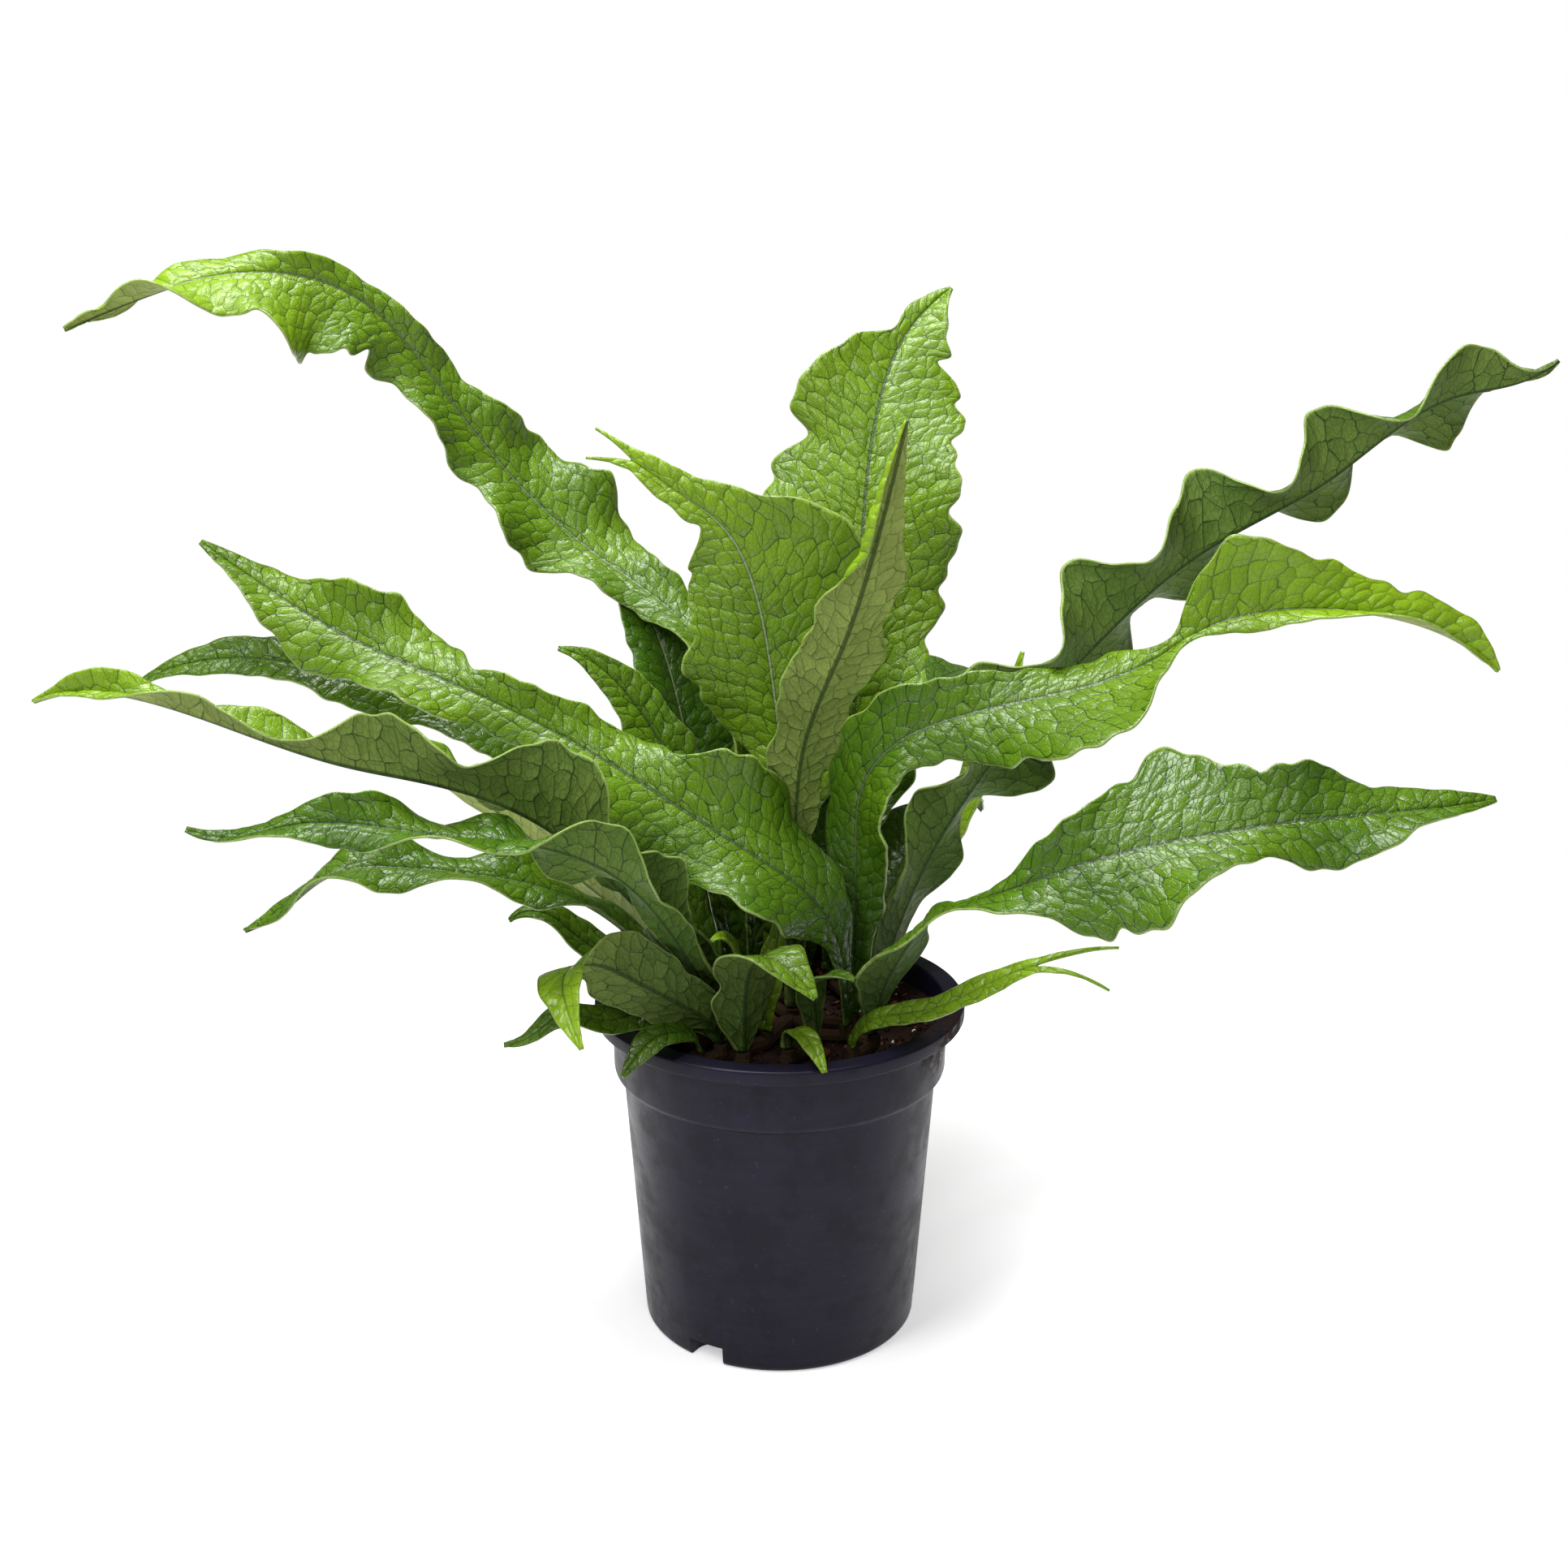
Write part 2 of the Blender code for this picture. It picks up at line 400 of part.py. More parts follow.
# Fronds. All lists run evenly from foot to tip: lean is the midrib's angle above level,
# swerve its turn away from the heading (0 right, 90 back, 180 left, 270 front), roll the
# blade's turn about its midrib, all in degrees, and breadth is the half width in cm.
# Phases are in waves, for the left and right edges.
FRONDS = (
    dict(name="frond_upper_left", foot=(-1.4, 2.6), length=53.5, heading=180, wave=5.5, flare=0.08,
         lean=(88, 86, 82, 42, 28, 43, 54, 51, 12, -14, -24), swerve=(-75, -60, -28, 12, 28, 28),
         roll=(-20, -30, -40, -45, -50, -50, -60, -40, 60), fold=(5, 5), swing=0.6,
         phases=(0.1, 0.45), breadth=(0.3, 0.4, 0.8, 1.0, 1.4, 2.6, 1.8, 2.2, 3.8, 2.0, 0.1),
         right_breadth=(0.3, 0.4, 0.8, 0.9, 1.6, 3.2, 1.8, 1.0, 1.0, 1.0, 0.1)),
    dict(name="frond_left_broad", foot=(3.0, -2.2), length=38.0, heading=170, wave=9.0,
         lean=(88, 76, 40, 33, 32, 28, 23, 20, 24, 31, 31), swerve=(60, 14, 2, 0, -5, -5),
         roll=(-20, -45, -50, -50, -45), fold=(5, 5), swing=1.0, phases=(0.3, 0.8),
         breadth=(0.3, 0.7, 2.6, 3.2, 2.4, 1.6, 1.2, 2.0, 2.1, 1.2, 0.1)),
    dict(name="frond_left_long", foot=(-2.6, -1.2), length=36.0, heading=190, wave=7.0,
         lean=(79, 47, 46, 48, 39, 24, 14, 20, 21, 10, -21), swerve=(46, 34, 25, 8, -6, -10, -10),
         roll=(30, 34, 40, 34, 0, -40), fold=(42, 42), swing=1.0, phases=(0.0, 0.4),
         breadth=(0.3, 1.0, 1.7, 2.3, 2.6, 2.4, 2.0, 1.2, 0.8, 0.9, 0.1)),
    dict(name="frond_left_behind", foot=(-2.6, 1.2), length=34.2, heading=180, wave=8.0,
         lean=(80, 62, 55, 42, 29, 23, 19, 11, -8, -40), swerve=(-30, -8, 4, 6, 4),
         roll=(-20, -40, -45, -48, -35), fold=(5, 5), swing=0.5, phases=(0.0, 0.5),
         breadth=(0.3, 0.8, 1.5, 1.8, 1.7, 1.7, 1.5, 1.2, 0.7, 0.1)),
    dict(name="frond_left_pale", foot=(-3.8, 0.6), length=19.7, heading=180,
         lean=(75, 36, 38, 40, 28, 18), swerve=(-20, -12, -4, 0), roll=(10, 40, 40, 40),
         fold=(10, 10), swing=0.25, phases=(0.0, 0.4), breadth=(0.3, 1.2, 2.0, 2.0, 1.3, 0.1)),
    dict(name="frond_left_dark", foot=(-3.8, 2.4), length=12.5, heading=150, lean=(70, 28, 34, 34),
         swerve=(0, 0, 7), roll=(-20, -20), fold=(10, 10), swing=0.3, phases=(0.0, 0.4),
         breadth=(0.3, 1.3, 1.3, 0.1)),
    dict(name="frond_low_left", foot=(-2.8, -2.6), length=29.4, heading=190, wave=6.5,
         lean=(78, 52, 52, 50, 38, 22, 8, 12, 4, -14, 24), swerve=(60, 50, 34, 12, 0, -6, -10),
         roll=(30, 50, 50, 40, -20, -38, -10), fold=(10, 10), swing=1.1, phases=(0.2, 0.7),
         breadth=(0.3, 0.8, 0.7, 1.0, 1.5, 1.6, 1.4, 1.4, 1.0, 0.6, 0.1)),
    dict(name="frond_low_left_curl", foot=(-4.0, -1.2), length=23.7, heading=190,
         lean=(80, 50, 44, 28, 15, 10, 0, -40, -20), swerve=(25, 10, 6, 4, 0, -8),
         roll=(0, -5, -20, -20, 15), fold=(10, 10), swing=0.8, phases=(0.0, 0.4),
         breadth=(0.3, 1.0, 1.2, 1.3, 1.3, 1.2, 1.4, 1.0, 0.1)),
    dict(name="frond_dark_curl", foot=(-4.8, -0.2), length=9.5, heading=190,
         lean=(70, 34, 34, 42, -42), swerve=(5, 0), roll=(0, -25, -25), fold=(10, 10), swing=0.3,
         phases=(0.0, 0.4), breadth=(0.3, 0.8, 1.0, 0.9, 0.1)),
    dict(name="frond_rim_lime", foot=(-2.6, -4.2), length=13.5, heading=230,
         lean=(70, 38, 34, 32, 0, -35, -45), swerve=(5, -20, -28, -28, 10, 60, 75),
         roll=(40, 60, 60, 60, 30, 0, -10), fold=(10, 10), swing=0.2, phases=(0.0, 0.4),
         breadth=(0.3, 1.2, 1.6, 1.8, 1.3, 0.8, 0.1)),
    dict(name="frond_rim_curl", foot=(-4.6, -3.0), length=9.6, heading=205,
         lean=(85, 16, 2, 26, -36, 0), swerve=(20, 15, 0, -15), roll=(-20, -30, -10), fold=(0, 0),
         swing=0.3, phases=(0.0, 0.4), breadth=(0.3, 0.7, 0.8, 0.7, 0.6, 0.1)),
    dict(name="frond_rim_sprig", foot=(-3.6, -5.1), length=5.8, heading=225,
         lean=(85, 26, 10, -30, -45), swerve=(15, 5, 0), roll=(-30, -30), fold=(0, 0), swing=0.15,
         phases=(0.0, 0.4), breadth=(0.3, 0.5, 0.6, 0.5, 0.1)),
    dict(name="frond_front_fold", foot=(-1.6, -5.2), length=8.4, heading=300,
         lean=(90, 84, 60, -20, -50), swerve=(0, 0, 10, 25, 30), roll=(0, 0), fold=(10, 10),
         swing=0.15, phases=(0.0, 0.4), breadth=(0.3, 1.4, 1.7, 1.2, 0.1)),
    dict(name="frond_front_strip", foot=(0.4, -4.8), length=5.0, heading=300,
         lean=(85, 20, -12, -45), swerve=(-10, -10, -5), roll=(0, 0), fold=(0, 0), swing=0.1,
         phases=(0.0, 0.4), breadth=(0.3, 0.5, 0.5, 0.1)),
    dict(name="frond_front_small", foot=(1.6, -3.6), length=5.4, heading=310,
         lean=(90, 75, 30, -10), swerve=(-100, -60, 10, 5), roll=(0, 0), fold=(10, 10), swing=0.15,
         phases=(0.0, 0.4), breadth=(0.3, 0.8, 0.8, 0.1)),
    dict(name="frond_rim_forked", foot=(3.2, -4.6), length=13.6, heading=330,
         lean=(75, 28, 22, 34, 30, 8, -12), swerve=(-10, -7, 5, 15, 20), roll=(40, 40), fold=(0, 0),
         swing=0.5, phases=(0.0, 0.4), breadth=(0.3, 0.5, 0.6, 0.6, 0.5, 0.35, 0.1)),
    dict(name="frond_right_broad", foot=(4.2, -3.2), length=33.4, heading=345, wave=9.0,
         lean=(85, 55, 50, 28, 28, 22, 12, 8, 3, 2, 4), swerve=(-55, -45, -30, 5, 17, 23, 31),
         roll=(-20, -32, -5, 45, 50, 45, 40, 35), fold=(5, 5), swing=0.9, phases=(0.5, 0.9),
         breadth=(0.3, 1.5, 1.4, 0.7, 0.7, 2.0, 4.2, 2.2, 2.4, 1.2, 0.1),
         right_breadth=(0.3, 1.5, 1.6, 1.0, 1.6, 3.2, 2.7, 1.8, 1.9, 1.0, 0.1)),
    dict(name="frond_right_lime", foot=(3.4, -0.8), length=41.0, heading=355, wave=13.0,
         lean=(90, 90, 90, 88, 60, 28, 17, 14, 22, 34, 14, 0, -10, -24, -44),
         swerve=(-100, -105, -20, -3, 1, 5, 5, 5), roll=(60, 60, 55, 38, 42, 42, 42),
         fold=(5, 5, 5, 10, 38, 40), swing=0.9, phases=(0.0, 0.5),
         breadth=(0.3, 0.9, 1.5, 2.0, 2.2, 1.8, 1.6, 1.8, 1.5, 0.4, 2.6, 2.4, 2.0, 1.3, 0.1),
         right_breadth=(0.3, 0.9, 1.5, 2.0, 2.0, 1.6, 2.2, 3.4, 4.2, 0.4, 1.0, 1.2, 1.4, 1.2, 0.1)),
    dict(name="frond_upper_right", foot=(4.4, 0.6), length=42.3, heading=355,
         lean=(80, 72, 68, 60, 56, 50, 46, 46, 40, 32, 32, 42, 36, 12, 42),
         swerve=(5, 0, 12, 8, -4, -8, -10), roll=(-20, -45, -52, -50, -46, -40, -40),
         fold=(5, 5, 5, 10, 28, 8, 5), swing=1.3, phases=(0.6, 0.7),
         breadth=(0.3, 1.2, 1.6, 1.6, 2.4, 2.8, 2.7, 2.7, 2.7, 2.2, 2.0, 2.2, 2.2, 1.6, 0.1)),
    dict(name="frond_back_right_young", foot=(3.4, 2.0), length=18.0, heading=30,
         lean=(70, 45, 54, 64, 78), swerve=(0, 0), roll=(0, 0), fold=(10, 10), swing=0.2,
         phases=(0.0, 0.4), breadth=(0.3, 0.8, 1.1, 1.1, 0.1)),
    dict(name="frond_top_tall", foot=(1.0, 3.2), length=34.4, heading=86, wave=11.0, flare=0.04,
         lean=(82, 72, 74, 78, 78, 76, 76, 74, 68, 60, 48, 30),
         swerve=(-70, -60, -20, -5, -12, -30, -70), roll=(0, 0), fold=(5, 5), swing=0.6,
         phases=(0.55, 0.1), breadth=(0.3, 0.5, 0.9, 1.8, 3.0, 3.6, 4.6, 5.2, 4.0, 3.4, 1.3, 0.1),
         right_breadth=(0.3, 0.5, 0.9, 1.8, 3.0, 3.4, 3.8, 4.2, 4.2, 3.9, 2.4, 0.1)),
    dict(name="frond_top_forked", foot=(-0.4, 1.4), length=29.2, heading=90, wave=9.0,
         lean=(88, 87, 86, 82, 80, 82, 78, 66, 36, 34, 14),
         swerve=(-40, -60, -50, -30, 30, 65, 75, 80, 82, 82, 80), roll=(0, 0), fold=(4, 4),
         swing=0.3, phases=(0.4, 0.9),
         breadth=(0.3, 0.4, 0.8, 1.1, 1.6, 2.9, 3.8, 3.0, 1.0, 0.6, 0.1),
         right_breadth=(0.3, 0.4, 0.8, 1.6, 2.8, 3.8, 4.4, 4.4, 1.6, 0.7, 0.1)),
    dict(name="frond_centre_pale", foot=(0.6, -0.2), length=28.6, heading=280, wave=4.5,
         lean=(96, 96, 92, 82, 70, 61, 62, 70, 74, 76, 78), swerve=(-25, -15, 0, 20, 45, 55, 65),
         roll=(0, 0), fold=(6, 6, 6, 10, 45), swing=0.15, phases=(0.0, 0.4),
         breadth=(0.3, 0.5, 0.6, 0.9, 1.3, 1.6, 1.8, 1.7, 1.5, 0.8, 0.1)),
    dict(name="frond_centre_left", foot=(-2.6, 4.8), length=22.8, heading=120,
         lean=(86, 80, 77, 75, 72, 62, 40, -25), swerve=(35, 22, 20, 55), roll=(0, 0), fold=(5, 5),
         swing=0.3, phases=(0.0, 0.4), breadth=(0.3, 0.6, 1.2, 2.0, 2.3, 1.7, 0.8, 0.1)),
    dict(name="frond_centre_left_small", foot=(-2.6, 3.4), length=18.6, heading=170,
         lean=(88, 82, 76, 67, 60, 48, 14), swerve=(-4, -4, 8, 20), roll=(-5, -25, -45, -50, -40),
         fold=(5, 5), swing=0.25, phases=(0.0, 0.4), breadth=(0.3, 0.5, 0.7, 1.1, 1.5, 0.9, 0.1)),
    dict(name="frond_inner_young", foot=(-0.6, -2.8), length=5.6, heading=60, lean=(88, 70, 78),
         swerve=(0, 0), roll=(0, 0), fold=(10, 10), swing=0.1, phases=(0.0, 0.4),
         breadth=(0.3, 0.7, 0.1)),
    dict(name="frond_inner_pale", foot=(-1.6, -3.6), length=6.6, heading=180, lean=(88, 82, 62, -5),
         swerve=(60, 60), roll=(0, 0), fold=(10, 10), swing=0.1, phases=(0.0, 0.4),
         breadth=(0.3, 0.6, 0.6, 0.1)),
    dict(name="frond_core_left", foot=(-1.3, 3.6), length=9.6, heading=95, lean=(88, 84, 80, 74),
         swerve=(0, 0), roll=(0, 0), fold=(8, 8), swing=0.2, phases=(0.3, 0.8),
         breadth=(0.3, 1.3, 1.5, 0.1)),
    dict(name="frond_core_right", foot=(0.6, 2.4), length=15.0, heading=80,
         lean=(88, 85, 82, 80, 78), swerve=(-30, -20), roll=(0, 0), fold=(8, 8), swing=0.2,
         phases=(0.1, 0.6), breadth=(0.3, 0.7, 1.4, 1.5, 0.1)),
    dict(name="frond_back_left", foot=(-1.2, 4.6), length=29.0, heading=112,
         lean=(82, 60, 46, 18, -18, -45), swerve=(-20, -5, 5), roll=(0, 0), fold=(8, 8), swing=0.45,
         phases=(0.2, 0.7), breadth=(0.3, 1.0, 2.0, 2.4, 1.8, 0.1)),
    dict(name="frond_back_centre", foot=(0.4, 4.8), length=31.0, heading=85,
         lean=(82, 62, 52, 22, -14, -45), swerve=(0, 0), roll=(0, 0), fold=(8, 8), swing=0.45,
         phases=(0.5, 0.0), breadth=(0.3, 1.0, 2.2, 2.4, 1.8, 0.1)),
    dict(name="frond_back_right", foot=(2.4, 4.2), length=26.5, heading=55,
         lean=(82, 56, 42, 16, -12, -40), swerve=(10, 0), roll=(0, 0), fold=(8, 8), swing=0.45,
         phases=(0.0, 0.3), breadth=(0.3, 1.0, 2.0, 2.2, 1.6, 0.1)),
    dict(name="frond_back_low_right", foot=(4.4, 2.6), length=17.0, heading=62,
         lean=(78, 44, 22, -8, -40), swerve=(10, 0, 0), roll=(0, 0), fold=(8, 8), swing=0.35,
         phases=(0.8, 0.3), breadth=(0.3, 1.2, 1.6, 1.4, 0.1)),
)


def build():
    """Model the whole plant and its pot."""
    clear_scene()
    make_pot(plain_material("pot_plastic", (0.027, 0.026, 0.036), 0.42))
    make_soil(plain_material("soil", (0.03, 0.018, 0.01), 0.95))
    feet = [frond["foot"] for frond in FRONDS]
    make_rhizome(plain_material("rhizome", (0.12, 0.07, 0.035), 0.85), RUNNERS, feet)
    leaf = plain_material("leaf", (0.1, 0.3, 0.03), 0.35)
    for frond in FRONDS:
        make_frond(material=leaf, **frond)


build()
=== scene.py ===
# %% [markdown]
# # A potted crocodile fern
# The plant stands in a round plastic nursery pot. Its fronds are thick, ruffled straps whose
# skin is puckered into scales, like a crocodile's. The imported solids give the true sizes. Here
# every frond is modelled again as a fine sheet and the pot is moulded again, while the soil
# and the rhizome keep their solids and get their real finishes.

# %% Load the frame
import math
import random

import bpy
import numpy as np
from mathutils import Euler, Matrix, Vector


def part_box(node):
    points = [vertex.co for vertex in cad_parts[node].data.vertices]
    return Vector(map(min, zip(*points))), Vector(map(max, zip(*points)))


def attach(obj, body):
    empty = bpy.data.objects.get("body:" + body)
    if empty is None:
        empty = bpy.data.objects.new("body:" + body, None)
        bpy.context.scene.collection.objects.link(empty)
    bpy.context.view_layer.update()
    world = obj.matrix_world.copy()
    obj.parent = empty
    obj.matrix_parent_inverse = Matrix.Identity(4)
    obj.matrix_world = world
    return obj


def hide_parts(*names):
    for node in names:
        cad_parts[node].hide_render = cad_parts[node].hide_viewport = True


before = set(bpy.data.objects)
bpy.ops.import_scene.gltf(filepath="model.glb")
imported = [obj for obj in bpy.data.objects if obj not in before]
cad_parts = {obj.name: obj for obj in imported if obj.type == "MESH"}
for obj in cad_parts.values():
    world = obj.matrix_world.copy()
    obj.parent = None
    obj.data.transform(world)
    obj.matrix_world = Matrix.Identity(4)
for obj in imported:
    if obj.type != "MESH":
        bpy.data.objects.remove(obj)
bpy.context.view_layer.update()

# %% [markdown]
# ## Small helpers
# Colours are picked as they look on a screen, from 0 to 255, and a shader wants them linear.
# Node trees are long to write out, so one helper adds a node, sets its options and joins its
# inputs. It works in material trees and in geometry trees alike.

# %% Colours and nodes
CM = 0.01
MM = 0.001


def tint(red, green, blue):
    """Screen colour from 0 to 255 as the linear colour that a shader socket takes."""
    def linear(value):
        share = value / 255
        return share / 12.92 if share <= 0.04045 else ((share + 0.055) / 1.055) ** 2.4
    return (linear(red), linear(green), linear(blue), 1.0)


def add_node(tree, kind, inputs=None, **options):
    """Add a node, set its options, and join or set its inputs by name or number."""
    node = tree.nodes.new(kind)
    for name, value in options.items():
        setattr(node, name, value)
    for name, value in (inputs or {}).items():
        if isinstance(value, bpy.types.NodeSocket):
            tree.links.new(value, node.inputs[name])
        else:
            node.inputs[name].default_value = value
    return node


def math_node(tree, operation, first, second=0.0, third=0.0, clamp=False):
    """One sum, and its result."""
    inputs = {0: first, 1: second, 2: third}
    return add_node(tree, "ShaderNodeMath", inputs, operation=operation, use_clamp=clamp).outputs[0]


def times(tree, first, second):
    """Product of two values."""
    return math_node(tree, "MULTIPLY", first, second)


def times_plus(tree, first, second, third, clamp=False):
    """Product of two values and a third one added to it."""
    return math_node(tree, "MULTIPLY_ADD", first, second, third, clamp)


def one_minus(tree, value):
    """What a value lacks to one."""
    return math_node(tree, "SUBTRACT", 1.0, value)


def ramp_down(tree, value, near, far):
    """One where the value is below near, zero beyond far, and soft between them."""
    inputs = {"Value": value, "From Min": near, "From Max": far, "To Min": 1.0, "To Max": 0.0}
    node = add_node(tree, "ShaderNodeMapRange", inputs, interpolation_type="SMOOTHSTEP", clamp=True)
    return node.outputs["Result"]


def blend_colours(tree, share, first, second):
    """Mix two colours by a share."""
    node = add_node(tree, "ShaderNodeMix", data_type="RGBA")
    for socket, value in ((node.inputs[0], share), (node.inputs[6], first), (node.inputs[7], second)):
        if isinstance(value, bpy.types.NodeSocket):
            tree.links.new(value, socket)
        else:
            socket.default_value = value
    return node.outputs[2]


def painted(tree, colour, mask, share, over):
    """Colour with a share of another one over it, where a mask lets it through."""
    return blend_colours(tree, times(tree, mask, share), colour, over)


def noise(tree, vector, scale, detail=3.0, roughness=0.5):
    """Cloudy noise from 0 to 1."""
    inputs = {"Vector": vector, "Scale": scale, "Detail": detail, "Roughness": roughness}
    return add_node(tree, "ShaderNodeTexNoise", inputs).outputs["Fac"]


def new_material(name):
    """A new material, its node tree and its main shader node."""
    material = bpy.data.materials.new(name)
    material.use_nodes = True
    tree = material.node_tree
    return material, tree, tree.nodes["Principled BSDF"]


def set_sockets(shader, **values):
    """Set a shader's even values on its own sockets, such as Roughness=0.4."""
    for name, value in values.items():
        shader.inputs[name.replace("_", " ")].default_value = value


# %% [markdown]
# ## Stage, camera and light
# A plant shop shows such a plant on plain white, in soft light. The floor is a wide disc in
# pale paint: it catches the shadow, and a glow that only the eye and reflections see takes it
# to white. The lens is a long one, a little above the plant and tilted down to it.

# %% Floor, world and camera
EYE_DISTANCE = 0.896
EYE_HEIGHT = 0.529
EYE_TILT = 16.73
EYE_LENS = 48.1
EYE_SHIFT = 0.0028
SENSOR_WIDTH = 36.0
NEAREST_SEEN = 0.05
WHITE = (1, 1, 1, 1)
FLOOR_RADIUS = 6.0
FLOOR_SIDES = 64
FLOOR_PAINT = tint(238, 238, 238)
FLOOR_GLOW = 0.5
WHITE_FROM = 0.25
WHITE_BY = 0.7
ROOM_LIGHT = 0.14


def white_to_the_eye(tree, shader, strength):
    """Give a shader a white glow that only the eye and reflections see."""
    path = add_node(tree, "ShaderNodeLightPath")
    seen = math_node(tree, "ADD", path.outputs["Is Camera Ray"], path.outputs["Is Glossy Ray"], clamp=True)
    seen = math_node(tree, "ADD", seen, path.outputs["Is Transmission Ray"], clamp=True)
    level = times(tree, seen, strength)
    glow = add_node(tree, "ShaderNodeEmission", {"Color": WHITE, "Strength": level})
    return add_node(tree, "ShaderNodeAddShader", {0: shader, 1: glow.outputs[0]}).outputs[0]


def make_floor():
    """Pale painted floor, which runs into plain white away from the plant."""
    bpy.ops.object.select_all(action="DESELECT")
    bpy.ops.mesh.primitive_circle_add(vertices=FLOOR_SIDES, radius=FLOOR_RADIUS, fill_type="NGON",
                                      location=(0, 0, 0))
    floor = bpy.context.object
    floor.name = "floor"
    material, tree, shader = new_material("floor_paint")
    set_sockets(shader, Base_Color=FLOOR_PAINT, Roughness=0.9)
    lit = white_to_the_eye(tree, shader.outputs[0], FLOOR_GLOW)
    where = add_node(tree, "ShaderNodeTexCoord").outputs["Object"]
    away = add_node(tree, "ShaderNodeVectorMath", {0: where}, operation="LENGTH").outputs["Value"]
    near = ramp_down(tree, away, WHITE_FROM, WHITE_BY)
    white = add_node(tree, "ShaderNodeEmission", {"Color": WHITE, "Strength": 1.0})
    eye = add_node(tree, "ShaderNodeLightPath").outputs["Is Camera Ray"]
    plain = times(tree, one_minus(tree, near), eye)
    floor_mix = add_node(tree, "ShaderNodeMixShader", {0: plain, 1: lit, 2: white.outputs[0]})
    tree.links.new(floor_mix.outputs[0], tree.nodes["Material Output"].inputs["Surface"])
    floor.data.materials.append(material)


def make_world():
    """Even white room, brighter to the eye than to the plant."""
    world = bpy.data.worlds.new("white_room")
    bpy.context.scene.world = world
    world.use_nodes = True
    tree = world.node_tree
    path = add_node(tree, "ShaderNodeLightPath")
    strength = times_plus(tree, path.outputs["Is Camera Ray"], 1.0 - ROOM_LIGHT, ROOM_LIGHT)
    room = tree.nodes["Background"]
    room.inputs["Color"].default_value = WHITE
    tree.links.new(strength, room.inputs["Strength"])


def make_camera():
    """The eye that looks at the plant."""
    data = bpy.data.cameras.new("eye")
    data.lens = EYE_LENS
    data.sensor_width = SENSOR_WIDTH
    data.shift_x = EYE_SHIFT
    data.clip_start = NEAREST_SEEN
    eye = bpy.data.objects.new("eye", data)
    eye.location = (0, -EYE_DISTANCE, EYE_HEIGHT)
    eye.rotation_euler = (math.radians(90 - EYE_TILT), 0, 0)
    bpy.context.scene.collection.objects.link(eye)
    bpy.context.scene.camera = eye


make_floor()
make_world()
make_camera()
bpy.context.scene.view_settings.view_transform = "Standard"


# %% Soft boxes
PLANT_MIDDLE = (0, 0, 0.28)
LAMPS = (("key", (-0.7, -0.7, 1.5), 0.5, 1.2, 16),
         ("top", (-0.1, 0.1, 1.5), 0.8, 0.6, 20),
         ("front", (0.15, -1.3, 1.15), 0.7, 0.5, 5))


def soft_box(name, place, width, height, watts):
    """Oblong studio lamp that points at the plant's middle."""
    data = bpy.data.lights.new(name, "AREA")
    data.shape = "RECTANGLE"
    data.size = width
    data.size_y = height
    data.energy = watts
    lamp = bpy.data.objects.new(name, data)
    lamp.location = place
    lamp.rotation_euler = (Vector(PLANT_MIDDLE) - Vector(place)).to_track_quat("-Z", "Y").to_euler()
    bpy.context.scene.collection.objects.link(lamp)


for lamp_values in LAMPS:
    soft_box(*lamp_values)
print("camera", bpy.context.scene.camera.location[:], "lamps", len(LAMPS))

# %% [markdown]
# ## How a frond grows
# A crocodile fern's frond rises from the rhizome on a short stalk, widens into a strap and
# arches over. It could be drawn point by point, but a plant is easier to describe as it
# grows: how long it is, how its midrib leans and swerves on the way, how the blade rolls
# about the midrib, and how wide and how ruffled it is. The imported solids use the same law
# with wide steps, and here it runs with fine ones. Lengths in it are in centimetres.

# %% Growth law
STUB_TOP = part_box("rhizome")[1].z / CM
FOOT_GAP = 0.08
TIP_HALF = 0.1
LEVEL = (0, 0)
SLIGHT_FOLD = (10, 10)
PLAIN_PHASES = (0.0, 0.4)
WAVE_LENGTH = 6.0
RUFFLE_POWER = 1.6
RUFFLE_FLARE = 0.14
RUFFLE_START = 6.0
RUFFLE_DELAY = 0.5
RUFFLE_HALF = 2
RUFFLE_MOST = 1.2
GROWTH_STEPS = 240
PLACES_ACROSS = 37
ROW_STEPS = tuple(np.linspace(1.0, -1.0, PLACES_ACROSS))


def evenly(values, share):
    """Smooth curve through values that are set evenly from a frond's foot to its tip."""
    knots = np.array(values, dtype=float)
    slopes = np.gradient(knots)
    place = share * (len(knots) - 1)
    low = np.clip(place.astype(int), 0, len(knots) - 2)
    t = place - low
    bend = 3 * t**2 - 2 * t**3
    return ((1 - bend) * knots[low] + bend * knots[low + 1]
            + (t**3 - 2 * t**2 + t) * slopes[low] + (t**3 - t**2) * slopes[low + 1])


def grown_midrib(foot, length, heading, lean, swerve, count):
    """Midrib of a frond, grown from its foot in short steps along its lean and swerve."""
    share = np.linspace(0.0, 1.0, GROWTH_STEPS + 1)
    turn = np.radians(heading + evenly(swerve, share))
    rise = np.radians(evenly(lean, share))
    steps = np.stack((np.cos(turn) * np.cos(rise), np.sin(turn) * np.cos(rise), np.sin(rise)), axis=1)
    steps = (steps[:-1] + steps[1:]) * length / GROWTH_STEPS / 2
    points = np.vstack((np.zeros(3), np.cumsum(steps, axis=0))) + foot
    rows = np.linspace(0.0, 1.0, count)
    return rows, np.stack([np.interp(rows, share, column) for column in points.T], axis=1)


def unit(vectors):
    """Vectors of length one."""
    return vectors / np.linalg.norm(vectors, axis=-1, keepdims=True)


